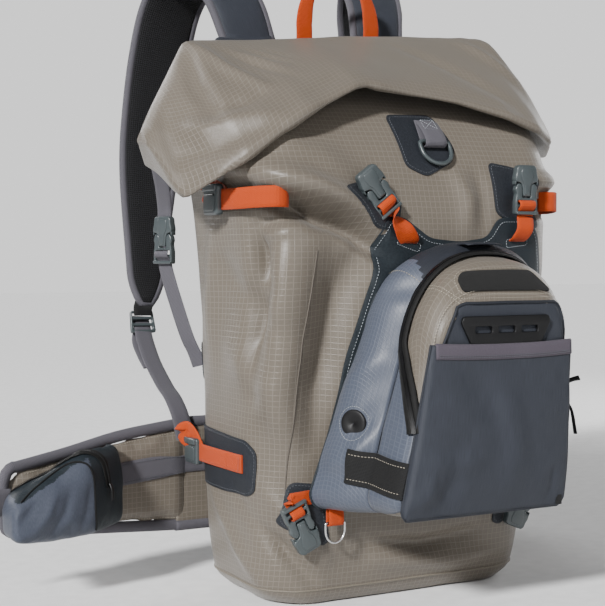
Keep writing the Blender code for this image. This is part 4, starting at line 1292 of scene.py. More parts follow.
# folded webbing loop with its steel D-ring
x, y, z = -0.098, -0.1135, 0.0865
loop = [(x, y + 0.0026, 0.104), (x, y + 0.003, 0.095), (x, y + 0.003, z), (x, y + 0.0021, z - 0.0021),
        (x, y, z - 0.003), (x, y - 0.0021, z - 0.0021), (x, y - 0.003, z), (x, y - 0.003, 0.093),
        (x, y - 0.001, 0.103)]
strap("loop_web", smooth_path(loop, 4), (1, 0, 0), ORANGE, "chest_pack", 0.016, 0.0012, "ring_loop")
places = chaikin([Vector((x + a, y, z - b)) for a, b in d_outline(0.0105, 0.02)], 1)
tube("key_ring_wire", resample(places, 60, closed=True), 0.001, STEEL, "key_ring", closed=True, sides=10,
     across=(0, 1, 0), stands_for="key_ring")


# ---------------------------------------------------------------- front panel
def panel_outline(t):
    """Outline and depth of the panel from its zipped rim (0) to the edge of its front (1)."""
    rows = ((0.0, 0.104, 0.245, 0.34, 0.1, 0.08, 2.4, ZIP_Y - 0.0005),
            (0.5, 0.105, 0.242, 0.333, 0.0985, 0.0805, 2.6, -0.196),
            (0.8, 0.107, 0.24, 0.316, 0.0965, 0.076, 3.0, -0.2085),
            (1.0, 0.11, 0.238, 0.298, 0.092, 0.07, 4.0, PACK_FRONT))
    values = smooth_row(rows, t)
    return arch(*values[:6]), values[6]


steps = []
for k in range(PANEL_STEPS + 1):
    outline, depth = panel_outline(k / PANEL_STEPS)
    steps.append(pack_ring(float(depth), outline))


def lid_point(column, t):
    """A place on the panel between its rim (0) and the edge of its front (1)."""
    spot = min(PANEL_STEPS - 0.001, max(0.0, t * PANEL_STEPS))
    k = int(spot)
    return steps[k][column % RIM_POINTS].lerp(steps[k + 1][column % RIM_POINTS], spot - k)


def zip_crossing(x, z):
    """How far over the left gusset the zip has crossed at a place on the rim."""
    return 0.985 * ease((0.268 - z) / 0.088) * ease((z - 0.1005) / 0.012) if x < 0 else 0.0


CROSSING = [zip_crossing(x, z) for x, z in RIM_OUTLINE]
panel_rows = [[lid_point(i, mix(CROSSING[i], 1.0, k / 28)) for i in range(RIM_POINTS)] for k in range(29)]
corner_columns = [i for i in range(RIM_POINTS) if CROSSING[i] > 0.004]
corner_rows = [[lid_point(i, CROSSING[i] * k / 14) for i in corner_columns] for k in range(15)]
corner_mesh = grid_mesh("tray_corner", corner_rows, flip=True)
CORNER_FOLDS = mm((
    ([(-118, -165, 140), (-108, -190, 150), (-100, -212, 140)], 8, -2.2),
    ([(-100, -170, 180), (-94, -195, 186), (-88, -214, 178)], 8, 1.8),
))
crease(corner_mesh, CORNER_FOLDS, wander=0.0005, scale=34.0, seed=2.2)
corner = thicken(add("tray_corner", corner_mesh, SLATE, "chest_pack"), 0.0016, 1.0)
front_ring = panel_rows[-1]
for share in (0.94, 0.85, 0.7, 0.5, 0.3, 0.12, 0.02):
    panel_rows.append(shrunk(front_ring, share, Vector((0, -0.0022 * (1 - share ** 3), 0))))
panel_mesh = grid_mesh("lid_panel", panel_rows, closed=True, flip=True)
LID_FOLDS = mm((
    ([(-90, -180, 160), (-88, -196, 180), (-78, -210, 200)], 9, -2.6),
    ([(-80, -180, 235), (-70, -195, 250), (-60, -208, 262)], 9, 2),
    ([(108, -180, 160), (104, -196, 180), (100, -210, 205)], 9, 2.2),
    ([(112, -180, 225), (104, -196, 240), (98, -210, 250)], 9, -2.2),
))
crease(panel_mesh, LID_FOLDS, wander=0.0007, scale=40.0, seed=1.5)


def lid_colour(c, n):
    """Khaki gussets round a slate middle with slanting sides."""
    from_middle = abs(c.x - lean(c.z) - 0.005)
    return 1 if c.y < -0.212 and c.z < 0.2965 and from_middle < 0.0585 + 0.35 * (0.2965 - c.z) else 0


paint_faces(panel_mesh, lid_colour)
lid = thicken(add("lid_panel", panel_mesh, (KHAKI, SLATE_POCKET), "pack_front", "front_panel"),
              0.0016, 1.0)
LID = tree_of(lid)


def both_sides(pieces):
    """The surfaces of several pieces as one mesh."""
    bm = bmesh.new()
    for piece in pieces:
        bm.from_mesh(applied(piece))
    return bm


# wide black webbing tab on the left side
tab_origin = Vector((-0.08, -0.16, 0.144))
tab_out = Vector((-0.9, -0.43, 0.0)).normalized()
tab_u = Vector((0.43, -0.9, -0.1)).normalized()
tab_v = tab_out.cross(tab_u).normalized()
TAB = rectangle(-0.02, -0.016, 0.052, 0.016)
SIDE = BVHTree.FromBMesh(both_sides((tray, corner)))
draped("side_tab", SIDE, rounded(TAB, 0.0015, 2), tab_origin + tab_out * 0.05, tab_u, tab_v, 0.0022,
       BLACK_WEB, "chest_pack", step=0.004)
lines = [[tab_origin + tab_out * 0.05 + tab_u * a + tab_v * b for a in (-0.018, 0.05)]
         for b in (-0.0115, 0.0115)]
sew("side_tab_stitch", SIDE, lines, -tab_out, 0.0026, "chest_pack", THREAD_KHAKI)

# seams of the lid: round its front edge, and down from the arch
arch_columns = [i for i in range(RIM_POINTS) if RIM_OUTLINE[i][1] > 0.15 and CROSSING[i] < 0.8]
for k, t in enumerate((0.1, 0.9)):
    beads = []
    for i in arch_columns:
        p = lid_point(i, mix(CROSSING[i], 1.0, t))
        out = (p - Vector((lean(0.2), -0.165, 0.21))).normalized()
        beads.append((p + out * 0.0021, out))
    add("lid_edge_stitch_%d" % k, stitch_mesh("s", beads, pitch=0.003), THREAD_KHAKI, "pack_front")
left_seam = mm([(-47.5, -177.5, 319.5), (-40, -190, 315), (-33, -202, 306), (-24, -215, 296)])
lines = [[Vector(p) + Vector((shift, 0, 0)) for p in left_seam] for shift in (-0.0022, 0.0022)]
sew("lid_corner_seam", LID, lines, (0.45, 0.75, -0.5), 0.0004, "pack_front", THREAD_KHAKI, pitch=0.0028)

# the fly patch of black foam with a stitched border
slope, up_slope = Vector((0, -0.863, 0.505)), Vector((0, 0.505, 0.863))
foam_middle = Vector((lean(0.315), -0.2085, 0.317))
FOAM_OUTLINE = rounded([(-0.048, -0.0105), (0.05, -0.0105), (0.0505, -0.008), (0.034, 0.0105),
                        (-0.042, 0.0105), (-0.0485, 0.004)], 0.004, 4)
draped("fly_foam", LID, FOAM_OUTLINE, foam_middle + slope * 0.03, (1, 0, 0), up_slope, 0.002, FOAM,
       "pack_front",
              step=0.004, stands_for="fly_patch")
border = [foam_middle + slope * 0.03 + Vector((p.x, 0, 0)) + up_slope * p.y
          for p in inset_line(FOAM_OUTLINE, -0.003)]
sew("fly_foam_stitch", LID, [border], -slope, 0.0004, "pack_front", THREAD_KHAKI, pitch=0.003)
hem_line = [Vector((x + lean(0.3), -0.3, 0.301)) for x in (-0.055, 0.066)]
sew("lid_top_stitch", LID, [hem_line], (0, 1, 0), 0.0004, "pack_front", THREAD_KHAKI, pitch=0.0026)
brow = [Vector((x + lean(z), -0.3, z)) for x, z in ((-0.0675, 0.256), (-0.055, 0.293), (-0.048, 0.2965),
                                                     (0.0, 0.297), (0.057, 0.2965), (0.064, 0.293),
                                                     (0.077, 0.256))]
spots = dropped(LID, resample(brow, 40), (0, 1, 0), 0.0004)
tube("lid_brow", spots, 0.0014, COLLAR, "pack_front", across=(0, 1, 0))

# rubber tool dock with three slots
shift = lean(0.27)
DOCK = rounded([(-0.048, 0.016), (0.048, 0.016), (0.0505, 0.01), (0.036, -0.0165), (-0.036, -0.0165),
                (-0.0505, 0.01)], 0.005, 4)
SLOTS = [rounded(rectangle(c - 0.0095, 0.0005, c + 0.0095, 0.0065), 0.002, 3)[::-1]
         for c in (-0.026, 0.0, 0.026)]
dock_face = plate("tool_rack", [DOCK] + SLOTS, 0.0034, 0.0009)
turned = axes_matrix((shift, PACK_FRONT - 0.0034, 0.269), (1, 0, 0), (0, 0, 1), (0, -1, 0))
dock_mesh = shade(joined("tool_rack", [(dock_face, turned)]), PLATE_EDGE)
add("tool_rack", dock_mesh, RUBBER, "pack_front", "tool_dock")
dock_ring = inset_line(DOCK, -0.0035)
line = [Vector((p.x + shift, -0.3, p.y + 0.269)) for p in dock_ring if p.y > -0.01]
start = max(range(len(line)), key=lambda i: (line[i] - line[i - 1]).length)
sew("tool_rack_stitch", LID, [line[start:] + line[:start]], (0, 1, 0), 0.0004, "pack_front", THREAD,
    pitch=0.0028)

# the stretch pocket with its hem band, dart and tag
LOW, HIGH = POCKET_HEIGHTS


def pocket_depth(x, z):
    """How far the pocket stands out: fullest across its middle a little below half its height, and flatter
    towards its top.
    """
    t = min(1.0, max(0.0, (z - LOW) / (HIGH - LOW)))
    half = mix(0.099, 0.081, t)
    across = max(0.0, 1.0 - ((x - lean(z)) / half) ** 2)
    belly = math.sin(math.pi / 2 * min(1.0, 3.2 * t + 0.06)) * mix(1.0, 0.35, ease((t - 0.45) / 0.55))
    return 0.0014 + 0.0098 * across ** 0.42 * belly


pocket_rows = []
for k in range(45):
    t = k / 44
    z = mix(LOW, HIGH, t)
    half = mix(0.0915, 0.079, t) - 0.006 * (1 - min(1, t / 0.06)) ** 2
    row = []
    for i in range(61):
        s = i / 60 * 2 - 1
        x = s * half + lean(z)
        row.append(Vector((x, PACK_FRONT - pocket_depth(x, z), z + 0.0022 * s * s * t)))
    pocket_rows.append(row)
for row in pocket_rows:
    for p in (row[0], row[-1]):
        p.y = PACK_FRONT + 0.0006
pocket_mesh = grid_mesh("pocket", pocket_rows)
POCKET_FOLDS = mm((
    ([(-92, -222, 104), (-72, -228, 108), (-58, -228, 128), (-56, -228, 146)], 3.5, -3.6),
    ([(-80, -222, 120), (-64, -228, 126), (-60, -228, 145)], 9, 4.8),
    ([(-50, -226, 112), (-40, -228, 135), (-36, -228, 160)], 10, -3.4),
    ([(-75, -224, 160), (-40, -228, 150), (-5, -228, 158)], 10, 2.8),
    ([(70, -224, 112), (74, -226, 124), (74, -226, 140)], 3.5, -3.6),
    ([(20, -226, 120), (30, -228, 170), (20, -226, 215)], 14, 2.8),
    ([(-30, -226, 240), (0, -228, 210), (10, -228, 170)], 12, -2.2),
))
crease(pocket_mesh, POCKET_FOLDS, wander=0.0008, scale=36.0, seed=9.0)
for vert in pocket_mesh.vertices:
    vert.co.y = max(vert.co.y, -0.23)
pocket = thicken(add("pocket", pocket_mesh, SLATE_POCKET, "pack_front", "front_pocket"), 0.0012,
                 1.0)
POCKET = tree_of(pocket)
hem = pocket_rows[-1]
hem_rows = []
for drop in (-0.0008, 0.0, 0.003, 0.006, 0.009, 0.0118, 0.0124):
    row = []
    for p in hem:
        found = laid(POCKET, [Vector((p.x, -0.3, min(p.z - max(drop, 0.0008), HIGH - 0.0004)))], (0, 1, 0),
                     0.0008)
        spot = found[0][0] if found else Vector(p)
        spot.z = p.z - drop
        row.append(spot)
    hem_rows.append(row[1:-1])
hem_rows[0] = [p + Vector((0, 0.0012, 0)) for p in hem_rows[0]]
hem_rows[-1] = [p + Vector((0, 0.0009, 0)) for p in hem_rows[-1]]
HEM_CLOTH = melange("hem_band", (0.06, 0.05, 0.066), (0.08, 0.07, 0.086), 0.7, (500, 1800, 1), 0.05)
thicken(add("pocket_hem", grid_mesh("pocket_hem", hem_rows, flip=True), HEM_CLOTH, "pack_front"), 0.0009, 1.0)
for k, drop in enumerate((0.0092, 0.0108)):
    line = [Vector((p.x, -0.3, p.z - drop)) for p in hem[2:-2]]
    sew("hem_stitch_%d" % k, POCKET, [line], (0, 1, 0), 0.0021, "pack_front", THREAD_PATCH, pitch=0.0026)
for name, s in (("left", 0), ("right", -1)):
    tube("pocket_edge_" + name, [row[s] + Vector((0, -0.0008, 0)) for row in pocket_rows], 0.0013, COLLAR,
         "pack_front", across=(1, 0, 0))
tube("pocket_foot", [p - Vector((0, 0, 0.0004)) for p in pocket_rows[0]], 0.0013, COLLAR, "pack_front")
tag = plate("tag", [rounded(rectangle(-0.003, -0.0045, 0.003, 0.0045), 0.0006, 2)], 0.0012, 0.0003)
spot = laid(POCKET, [Vector((0.083, -0.3, 0.11))], (0, 1, 0), 0.0006)[0][0]
add("pocket_tag", joined("pocket_tag", [(tag, axes_matrix(spot, (0.9, -0.3, 0), (0, 0, 1),
                                                          (-0.3, -0.9, 0)))]), BLACK_WEB,
    "pack_front")


# ---------------------------------------------------------------- zip of the chest pack
def zip_frame(columns, count):
    """Places, outward normals and directions along the zip."""
    places, normals = [], []
    for i in columns:
        here = lid_point(i, CROSSING[i])
        along = lid_point(i + 1, CROSSING[i]) - lid_point(i - 1, CROSSING[i])
        over = lid_point(i, CROSSING[i] + 0.05) - lid_point(i, CROSSING[i] - 0.05)
        normal = along.cross(over).normalized()
        if normal.dot(here - Vector((lean(0.2), -0.1, 0.2))) < 0:
            normal = -normal
        places.append(here)
        normals.append(normal)
    places, normals = resample(places, count), resample(normals, count)
    return [(p, n.normalized(), heading(places, i)) for i, (p, n) in enumerate(zip(places, normals))]


def zip_half(name, body, near, far, teeth_at, phase):
    """One side of the zip: its tape round the arch, and a row of coil teeth; minus is the lid's side."""
    columns = [i for i in range(RIM_POINTS) if RIM_OUTLINE[i][1] > 0.122 and CROSSING[i] < 0.96]
    rows, teeth = [], bmesh.new()
    for p, normal, ahead in zip_frame(columns, ZIP_POINTS):
        across = normal.cross(ahead)
        across = across if across.y > 0 else -across
        rows.append([p + normal * 0.0036 + across * near, p + normal * 0.0034 + across * mix(near, far, 0.5),
                     p + normal * 0.0027 + across * far])
    for p, normal, ahead in zip_frame(columns, ZIP_TEETH)[phase::2]:
        across = normal.cross(ahead)
        across = across if across.y > 0 else -across
        turned = axes_matrix(p + normal * 0.0043 + across * teeth_at, ahead, across, normal)
        made = bmesh.ops.create_cube(teeth, size=1.0)["verts"]
        bmesh.ops.scale(teeth, verts=made, vec=(0.00075, 0.0026, 0.0013))
        bmesh.ops.transform(teeth, matrix=turned, verts=made)
    mesh = bpy.data.meshes.new(name + "_teeth")
    teeth.to_mesh(mesh)
    teeth.free()
    add(name + "_teeth", mesh, ZIP_BLACK, body)
    thicken(add(name + "_tape", grid_mesh(name, rows), TAPE, body), 0.0009, 0.0)


zip_half("zip_tray", "chest_pack", -0.0002, 0.0072, 0.0009, 0)
zip_half("zip_lid", "pack_front", -0.0004, -0.0082, -0.0009, 1)
slider_spot = Vector((0.1088, ZIP_Y, 0.205))
SLIDER = rounded(mirrored([(0.0018, -0.0065), (0.0032, -0.006), (0.0046, 0.0), (0.005, 0.006),
                           (0.0026, 0.0068)]),
                 0.001, 3)
side_out, downward = Vector((0.985, 0.0, 0.17)), Vector((0.17, 0, -0.985))
base = axes_matrix(slider_spot, (0, 1, 0), downward, side_out)
slider_mesh = joined("slider", [(plate("body", [SLIDER], 0.0042, 0.001),
                                 base @ Matrix.Translation((0, 0, 0.0014))),
                                (plate("bridge", [rounded(rectangle(-0.0013, -0.0045, 0.0013, 0.0045), 0.0008,
                                                          3)],
                                       0.0022, 0.0006),
                                 base @ Matrix.Translation((0, 0, 0.0046)))])
add("slider", slider_mesh, ZIP_BLACK, "zip_slider", "zip_slider")
anchor = slider_spot + side_out * 0.0066
PULLS = mm((
    ((0, 0, 0), (8, -4, 6), (16, -8, 11), (24, -11, 13)),
    ((0, 0, -3), (7, -4, -6), (15, -9, -16), (19, -12, -42)),
))
for k, hang in enumerate(PULLS):
    strap("slider_pull_%d" % k, smooth_path([anchor + Vector(p) for p in hang], 5), (0, 0.7, 0.7), ZIP_BLACK,
          "zip_slider", 0.0044, 0.0018, scale=lambda t: 0.6 + 0.7 * t)

# ---------------------------------------------------------------- haul handle
left, right, y, fold = -0.013, 0.073, 0.1042, 0.598
strap("handle_band", smooth_path([(left - 0.01, y, 0.5365), (0.03, y, 0.5365), (right + 0.01, y, 0.5365)], 6),
      (0, 0, 1), ORANGE, "bag", 0.016, 0.0024, stands_for="handle_anchor")
middle = (left + right) / 2
route = smooth_path([(left, y, 0.5285), (left, y, 0.555), (left, y, fold - 0.012), (left, y, fold),
                     (left + 0.004, y, 0.62), (left + 0.016, y, 0.642),
                     (middle, y, 0.6515), (right - 0.016, y, 0.642), (right - 0.004, y, 0.62),
                     (right, y, fold), (right, y, fold - 0.012), (right, y, 0.555), (right, y, 0.5285)], 8)
rows, last = [], len(route) - 1
for i, p in enumerate(route):
    ahead = Vector((0, 0, 1 if i == 0 else -1)) if i in (0, last) else heading(route, i)
    out = Vector((ahead.z, 0, -ahead.x))
    pinch = ease((p.z - fold) / 0.05)
    wide, deep = mix(WEB / 2, 0.0052, pinch), mix(0.0012, 0.0034, pinch)
    rows.append([p + out * (wide * a) + Vector((0, deep * b, 0)) for a, b in superellipse(20, 0.6, 0.6)])
grip = add("handle_grip", grid_mesh("handle_grip", rows, closed=True, caps=True), ORANGE, None, "haul_handle")
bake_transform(grip)
for name, x in (("left", left), ("right", right)):
    beads = [(Vector((x + a, y - 0.0016, 0.544)), Vector((0, -1, 0))) for a in (-0.008, -0.003, 0.003, 0.008)]
    add("handle_bar_" + name, stitch_mesh("s", beads, pitch=0.0016), THREAD_DARK, "bag")

# ---------------------------------------------------------------- padded back
PAD_OUTLINE = mm([(-105, 50), (105, 50), (118, 200), (112, 400), (100, 543), (-100, 543), (-112, 400),
                  (-118, 200)])


def quilt(name, outline, rear, thick, channels, material, body, stands_for=(), cell=0.004,
          radius=0.02, depth=0.8):
    """A crowned pad standing off the back, pressed in along its sewn channels and its edge."""
    bm = filled(rounded(outline, radius, 6), cell)
    uv = bm.loops.layers.uv.new("cloth")
    for face in bm.faces:
        for loop in face.loops:
            loop[uv].uv = loop.vert.co.xy
    rim = np.array([(x, z, 0) for x, z in rounded(outline, radius, 6)], float)
    spots = np.array([tuple(v.co) for v in bm.verts])
    edge, _ = near_line(spots, np.vstack([rim, rim[:1]]))
    sewn = np.full(len(spots), 1.0)
    for line in channels:
        far, _ = near_line(spots, [(a, b, 0) for a, b in line])
        sewn = np.minimum(sewn, far)
    for vert, a, b in zip(bm.verts, edge, sewn):
        crown = (1 - (1 - min(1, a / 0.014)) ** 2) ** 0.5
        press = 1 - depth * math.exp(-(b / 0.0055) ** 2)
        x, z = vert.co.x, vert.co.y
        vert.co = (x, rear + thick * (0.18 + 0.82 * crown * press), z)
    mesh = bpy.data.meshes.new(name)
    bmesh.ops.recalc_face_normals(bm, faces=bm.faces)
    if sum(f.normal.y for f in bm.faces) < 0:
        bmesh.ops.reverse_faces(bm, faces=bm.faces)
    rims = [e for e in bm.edges if e.is_boundary]
    made = bmesh.ops.extrude_edge_only(bm, edges=rims)["geom"]
    for vert in made:
        if isinstance(vert, bmesh.types.BMVert):
            vert.co.y = rear
    bm.to_mesh(mesh)
    bm.free()
    mesh.shade_smooth()
    obj = add(name, mesh, material, body, stands_for)
    return obj


channels = [[(s * 0.04, 0.09), (s * 0.034, 0.25), (s * 0.03, 0.5)] for s in (-1, 1)]
channels += [[(s * 0.045, z), (s * 0.116, z + 0.022)] for s in (-1, 1) for z in (0.22, 0.33, 0.44)]
quilt("back_pad", PAD_OUTLINE, 0.0862, 0.0098, channels, NET, "bag", "back_panel")
LUMBAR = mm([(-88, 66), (88, 66), (96, 120), (70, 172), (-70, 172), (-96, 120)])
quilt("lumbar_pad", LUMBAR, 0.0945, 0.0135, [[(-0.05, 0.119), (0.05, 0.119)]], NET, "bag", radius=0.026,
      depth=0.5)
for name, outline, y, radius in (("back", PAD_OUTLINE, 0.0885, 0.02), ("lumbar", LUMBAR, 0.0972, 0.026)):
    line = [Vector((a, y, b)) for a, b in rounded(outline, radius, 6)]
    tube(name + "_binding", resample(line, 160, closed=True), 0.0026, GREY_WEB, "bag", closed=True,
         across=(0, 1, 0))
yoke = rounded(rectangle(-0.125, 0.515, 0.15, 0.572), 0.008, 4)
yoke_mesh = joined("yoke", [(plate("yoke", [yoke], 0.005, 0.0016),
                             axes_matrix((0, 0.099, 0), (-1, 0, 0), (0, 0, 1), (0, 1, 0)))])
for vert in yoke_mesh.vertices:
    vert.co.x = -vert.co.x
yoke_mesh.flip_normals()
planar_uv(yoke_mesh, (1, 0, 0), (0, 0, 1))
yoke_obj = add("yoke_panel", yoke_mesh, SLATE_POCKET, "bag", "shoulder_yoke")
YOKE = tree_of(yoke_obj)
line = [Vector((p.x, 0.3, p.y)) for p in inset_line(yoke, 0.0035)]
sew("yoke_stitch", YOKE, [line], (0, -1, 0), 0.0004, "bag", THREAD)


# ---------------------------------------------------------------- shoulder straps
ROUTE = mm([(82.5, 126, 572), (93, 150, 625), (111, 193, 653), (128, 232, 628), (141, 245, 560),
            (155, 238, 460), (166, 222, 370), (174.5, 204, 285)])
LOWER = mm([(182, 196, 256), (183.5, 185, 244), (185, 160, 222), (185, 125, 198.5), (184.2, 104.5, 187),
            (181.5, 91.2, 169), (178, 87.2, 146)])


def pad_width(t):
    return mix(0.059, 0.065, min(1, t * 6)) if t < 0.68 else mix(0.065, 0.034, ease((t - 0.68) / 0.32))


for side, name in SIDES:
    body = "shoulder_" + name

    def shoulder(p, s=side):
        return Vector((STRAP_CENTRE + s * p[0], p[1], p[2]))
    path = smooth_path([shoulder(p) for p in ROUTE], 12)
    last = len(path) - 1
    rows, edges, faces_at = [], ([], []), []
    for i, p in enumerate(path):
        t = i / last
        ahead = heading(path, i)
        across = Vector((1, 0.1 * side * t, 0))
        across = (across - ahead * across.dot(ahead)).normalized()
        out = across.cross(ahead) * -1
        half = pad_width(t) / 2 * (1 - 0.62 * max(0.0, (t - 0.94) / 0.06) ** 2)
        thick = 0.0062 * (0.7 + 0.3 * min(1, 14 * t, 14 * (1 - t)))
        rows.append([p + across * (half * 0.97 * a) + out * (thick * b)
                     for a, b in superellipse(28, 0.55, 0.75)])
        edges[0].append(p - across * half)
        edges[1].append(p + across * half)
        faces_at.append(-out)
    mesh = grid_mesh("shoulder_" + name + "_pad", [shrunk(rows[0], s) for s in (0.1, 0.6)] + rows
                     + [shrunk(rows[-1], s) for s in (0.6, 0.1)], closed=True, caps=True)
    crease(mesh, (), wander=0.0007, scale=40.0, seed=2.0)
    outward = np.array([tuple(v) for v in faces_at])
    centres = np.array([tuple(v) for v in path])

    def pad_side(c, n):
        near = int(np.argmin(((centres - np.array(c)) ** 2).sum(axis=1)))
        return 1 if float(np.dot(outward[near], np.array(n))) > 0.05 else 0
    paint_faces(mesh, pad_side)
    pad = add("strap_pad_" + name, mesh, (NET, SLATE_POCKET), body, "shoulder_pad_" + name)
    tube("strap_binding_" + name, edges[0] + edges[1][::-1], 0.004, GREY_WEB, body, across=(0.2, 1, 0.1),
         flat=1.15)
    root = [shoulder(p) for p in ((0.0825, 0.105, 0.53), (0.0825, 0.1065, 0.548), (0.0828, 0.115, 0.562),
                                  (0.0835, 0.129, 0.579))]
    joint = strap("strap_root_" + name, smooth_path(root, 6), (1, 0, 0), SLATE_POCKET, None, 0.056, 0.0086)
    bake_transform(joint)
    daisy = [p + o * 0.0068 for p, o in zip(path, faces_at)][round(0.4 * last):-6]
    strap("strap_daisy_" + name, daisy, (1, 0.05 * side, 0), GREY_WEB, body, 0.018, 0.0013)
    for k, t in enumerate((0.44, 0.56, 0.68, 0.8)):
        i = round(t * last)
        bar = [(path[i] + faces_at[i] * 0.0078 + Vector((a, 0, 0)), faces_at[i])
               for a in (-0.008, -0.003, 0.003, 0.008)]
        add("strap_bar_%s_%d" % (name, k), stitch_mesh("s", bar, pitch=0.0015), THREAD_DARK, body)
    tip = path[-1]
    downward = (path[-1] - path[-3]).normalized()
    anchor = [tip - downward * 0.02 + faces_at[-1] * 0.0076, tip - downward * 0.004 + faces_at[-1] * 0.0064,
              shoulder((0.1798, 0.201, 0.279)), shoulder((0.1806, 0.1975, 0.2712))]
    strap("strap_anchor_" + name, smooth_path(anchor, 6), (1, 0.1 * side, 0), BLACK_WEB, body, 0.021, 0.0018)
    centre = shoulder((0.1815, 0.1985, 0.264))
    rim = rounded([(-0.0148, -0.0128), (0.0148, -0.0128), (0.0132, 0.0128), (-0.0132, 0.0128)], 0.003, 3)
    holes = [rounded(rectangle(-0.0112, z, 0.0112, z + 0.0042), 0.001, 2)[::-1]
             for z in (-0.0092, -0.0018, 0.0056)]
    ladder = plate("ladder", [rim] + holes, 0.0046, 0.0011)
    turned = axes_matrix(centre, (1, 0.05 * side, 0), (0, 0.28, 0.96), (-0.05 * side, 0.96, -0.28))
    add("ladder_" + name, joined("ladder", [(ladder, turned)]), PLASTIC, body, "ladder_lock_" + name)
    web = [shoulder((0.1812, 0.203, 0.27)), shoulder((0.1815, 0.203, 0.265)),
           shoulder((0.1818, 0.199, 0.261))]
    route = smooth_path(web + [shoulder(p) for p in LOWER], 6)
    lower = strap("shoulder_web_" + name, route, (1, 0, 0), GREY_WEB, None, WEB, 0.0016,
                  "shoulder_webbing_" + name)
    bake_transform(lower)
    free = [shoulder((0.1818, 0.201, 0.2595)), shoulder((0.184, 0.199, 0.244)),
            shoulder((0.185, 0.18, 0.229)), shoulder((0.1852, 0.163, 0.2185))]
    strap("shoulder_tail_" + name, [p + Vector((0, -0.001, -0.003)) for p in smooth_path(free, 6)],
          (1, 0.1 * side, 0), GREY_WEB, body, WEB * 0.96, 0.0016)


# ---------------------------------------------------------------- hip belt
def to_right(mesh, name):
    """The same belt piece, mirrored and folded back behind the bag."""
    a = math.radians(RIGHT_FOLD)
    out = mesh.copy()
    out.name = name
    points = coordinates(out)
    dx, dy = points[:, 0] - WING_PIVOT[0], points[:, 1] - WING_PIVOT[1]
    points[:, 0] = -(WING_PIVOT[0] + dx * math.cos(a) - dy * math.sin(a))
    points[:, 1] = WING_PIVOT[1] + dx * math.sin(a) + dy * math.cos(a)
    out.vertices.foreach_set("co", points.ravel())
    out.flip_normals()
    out.update()
    return out


def belt_piece(name, obj, nodes=()):
    """Finish a left belt piece and add its twin on the right wing."""
    bake(obj)
    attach(obj, "belt_left")
    twin = bpy.data.objects.new(name + "_right", to_right(obj.data, name + "_right"))
    SCENE.collection.objects.link(twin)
    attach(twin, "belt_right")
    obj.name = name + "_left"
    for piece, end in ((obj, "_left"), (twin, "_right")):
        if nodes:
            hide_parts(nodes + end)
    return obj


WING_ROUTE = mm(((-153, 100), (-190, 98.5), (-240, 93), (-300, 84), (-365, 70)))
WING_HEIGHTS = mm(((52, 162), (54, 158), (58, 152), (63, 140), (69, 130)))
spine = smooth_path([(x, y, z[0]) for (x, y), z in zip(WING_ROUTE, WING_HEIGHTS)], 10)
crest = smooth_path([(x, y, z[1]) for (x, y), z in zip(WING_ROUTE, WING_HEIGHTS)], 10)
rows = []
for i, (a, b) in enumerate(zip(spine, crest)):
    t = i / (len(spine) - 1)
    out = heading(spine, i).cross(Vector((0, 0, 1))).normalized()
    corner = 0.012 * (ease(1 - t * 16) + ease((t - 0.93) * 14))
    low, high = a + Vector((0, 0, corner * 0.8)), b - Vector((0, 0, corner))
    slim = 0.0042 * (0.55 + 0.45 * min(1, 12 * t, 12 * (1 - t)))
    rows.append([low.lerp(high, a * 0.5 + 0.5) + out * (slim * b) for a, b in superellipse(40, 0.5, 0.7)])
wing_mesh = puff(grid_mesh("wing", rows, closed=True, caps=True), 0.004, 3.0, 0.004)
planar_uv(wing_mesh, (1, 0, 0), (0, 0, 1))
paint_faces(wing_mesh, lambda c, n: 0 if n.y < 0.15 else 1)
wing = add("hip_wing", wing_mesh, (KHAKI, NET))
WING = tree_of(wing)
belt_piece("hip_wing", wing, "belt_wing")
outline = crest[1:-1] + [crest[-1] + Vector((-0.001, 0, -0.012)),
                         spine[-1] + Vector((-0.001, 0, 0.01))] + spine[1:-1][::-1]
belt_piece("hip_binding", tube("hip_binding", [p.copy() for p in smooth_path(outline, 2)], 0.0048, GREY_WEB,
                               None, across=(0, 1, 0), flat=1.25, sides=10))
ROOTS = {"left": ((-0.096, 0.0965), (-0.12, 0.098), (-0.145, 0.0992), (-0.172, 0.099)),
         "right": ((0.096, 0.0965), (0.12, 0.098), (0.142, 0.0992), (0.1515, 0.106), (0.1525, 0.122))}
for name, route in ROOTS.items():
    side = -1 if name == "left" else 1
    places, rows, face = smooth_path([(x, y, 0.0) for x, y in route], 8), [], []
    for i, p in enumerate(places):
        out = heading(places, i).cross(Vector((0, 0, side))).normalized()
        rows.append([p + out * (0.004 * b) + Vector((0, 0, 0.107 + 0.0535 * a))
                     for a, b in superellipse(40, 0.5, 0.7)])
        face.append(p + out * 0.0048 + Vector((0, 0, 0.118)))
    root_mesh = grid_mesh("hip_root_" + name, rows, closed=True, caps=True, flip=side < 0)
    planar_uv(root_mesh, (1, 0, 0), (0, 0, 1))
    root = add("hip_root_" + name, root_mesh, KHAKI)
    edges = [tube("root_edge_" + name, [p + Vector((0, 0, z)) for p in places], 0.0048, GREY_WEB, None,
                  across=(0, 1, 0), flat=1.25, sides=10) for z in (0.052, 0.162)]
    edges.append(strap("root_web_" + name, face, (0, 0, 1), GREY_WEB, None, 0.018, 0.0014))
    for piece in [root] + edges:
        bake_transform(piece)
face_line = [Vector((x, -0.3, z)) for x, z in ((-0.157, 0.118), (-0.2, 0.117), (-0.24, 0.114),
                                               (-0.262, 0.112))]
spots = dropped(WING, resample(face_line, 24), (0, 1, 0), 0.001)
belt_piece("hip_web", strap("hip_web", spots, (0, 0, 1), GREY_WEB, None, 0.024, 0.0016,
                            scale=lambda t: 1.0 if t > 0.42 else mix(0.72, 1.0, ease(t / 0.42))))
lines = [[Vector((x, -0.3, z + 0.009 * s)) for x, z in ((-0.163, 0.118), (-0.2, 0.117), (-0.255, 0.113))]
         for s in (-1, 1)]
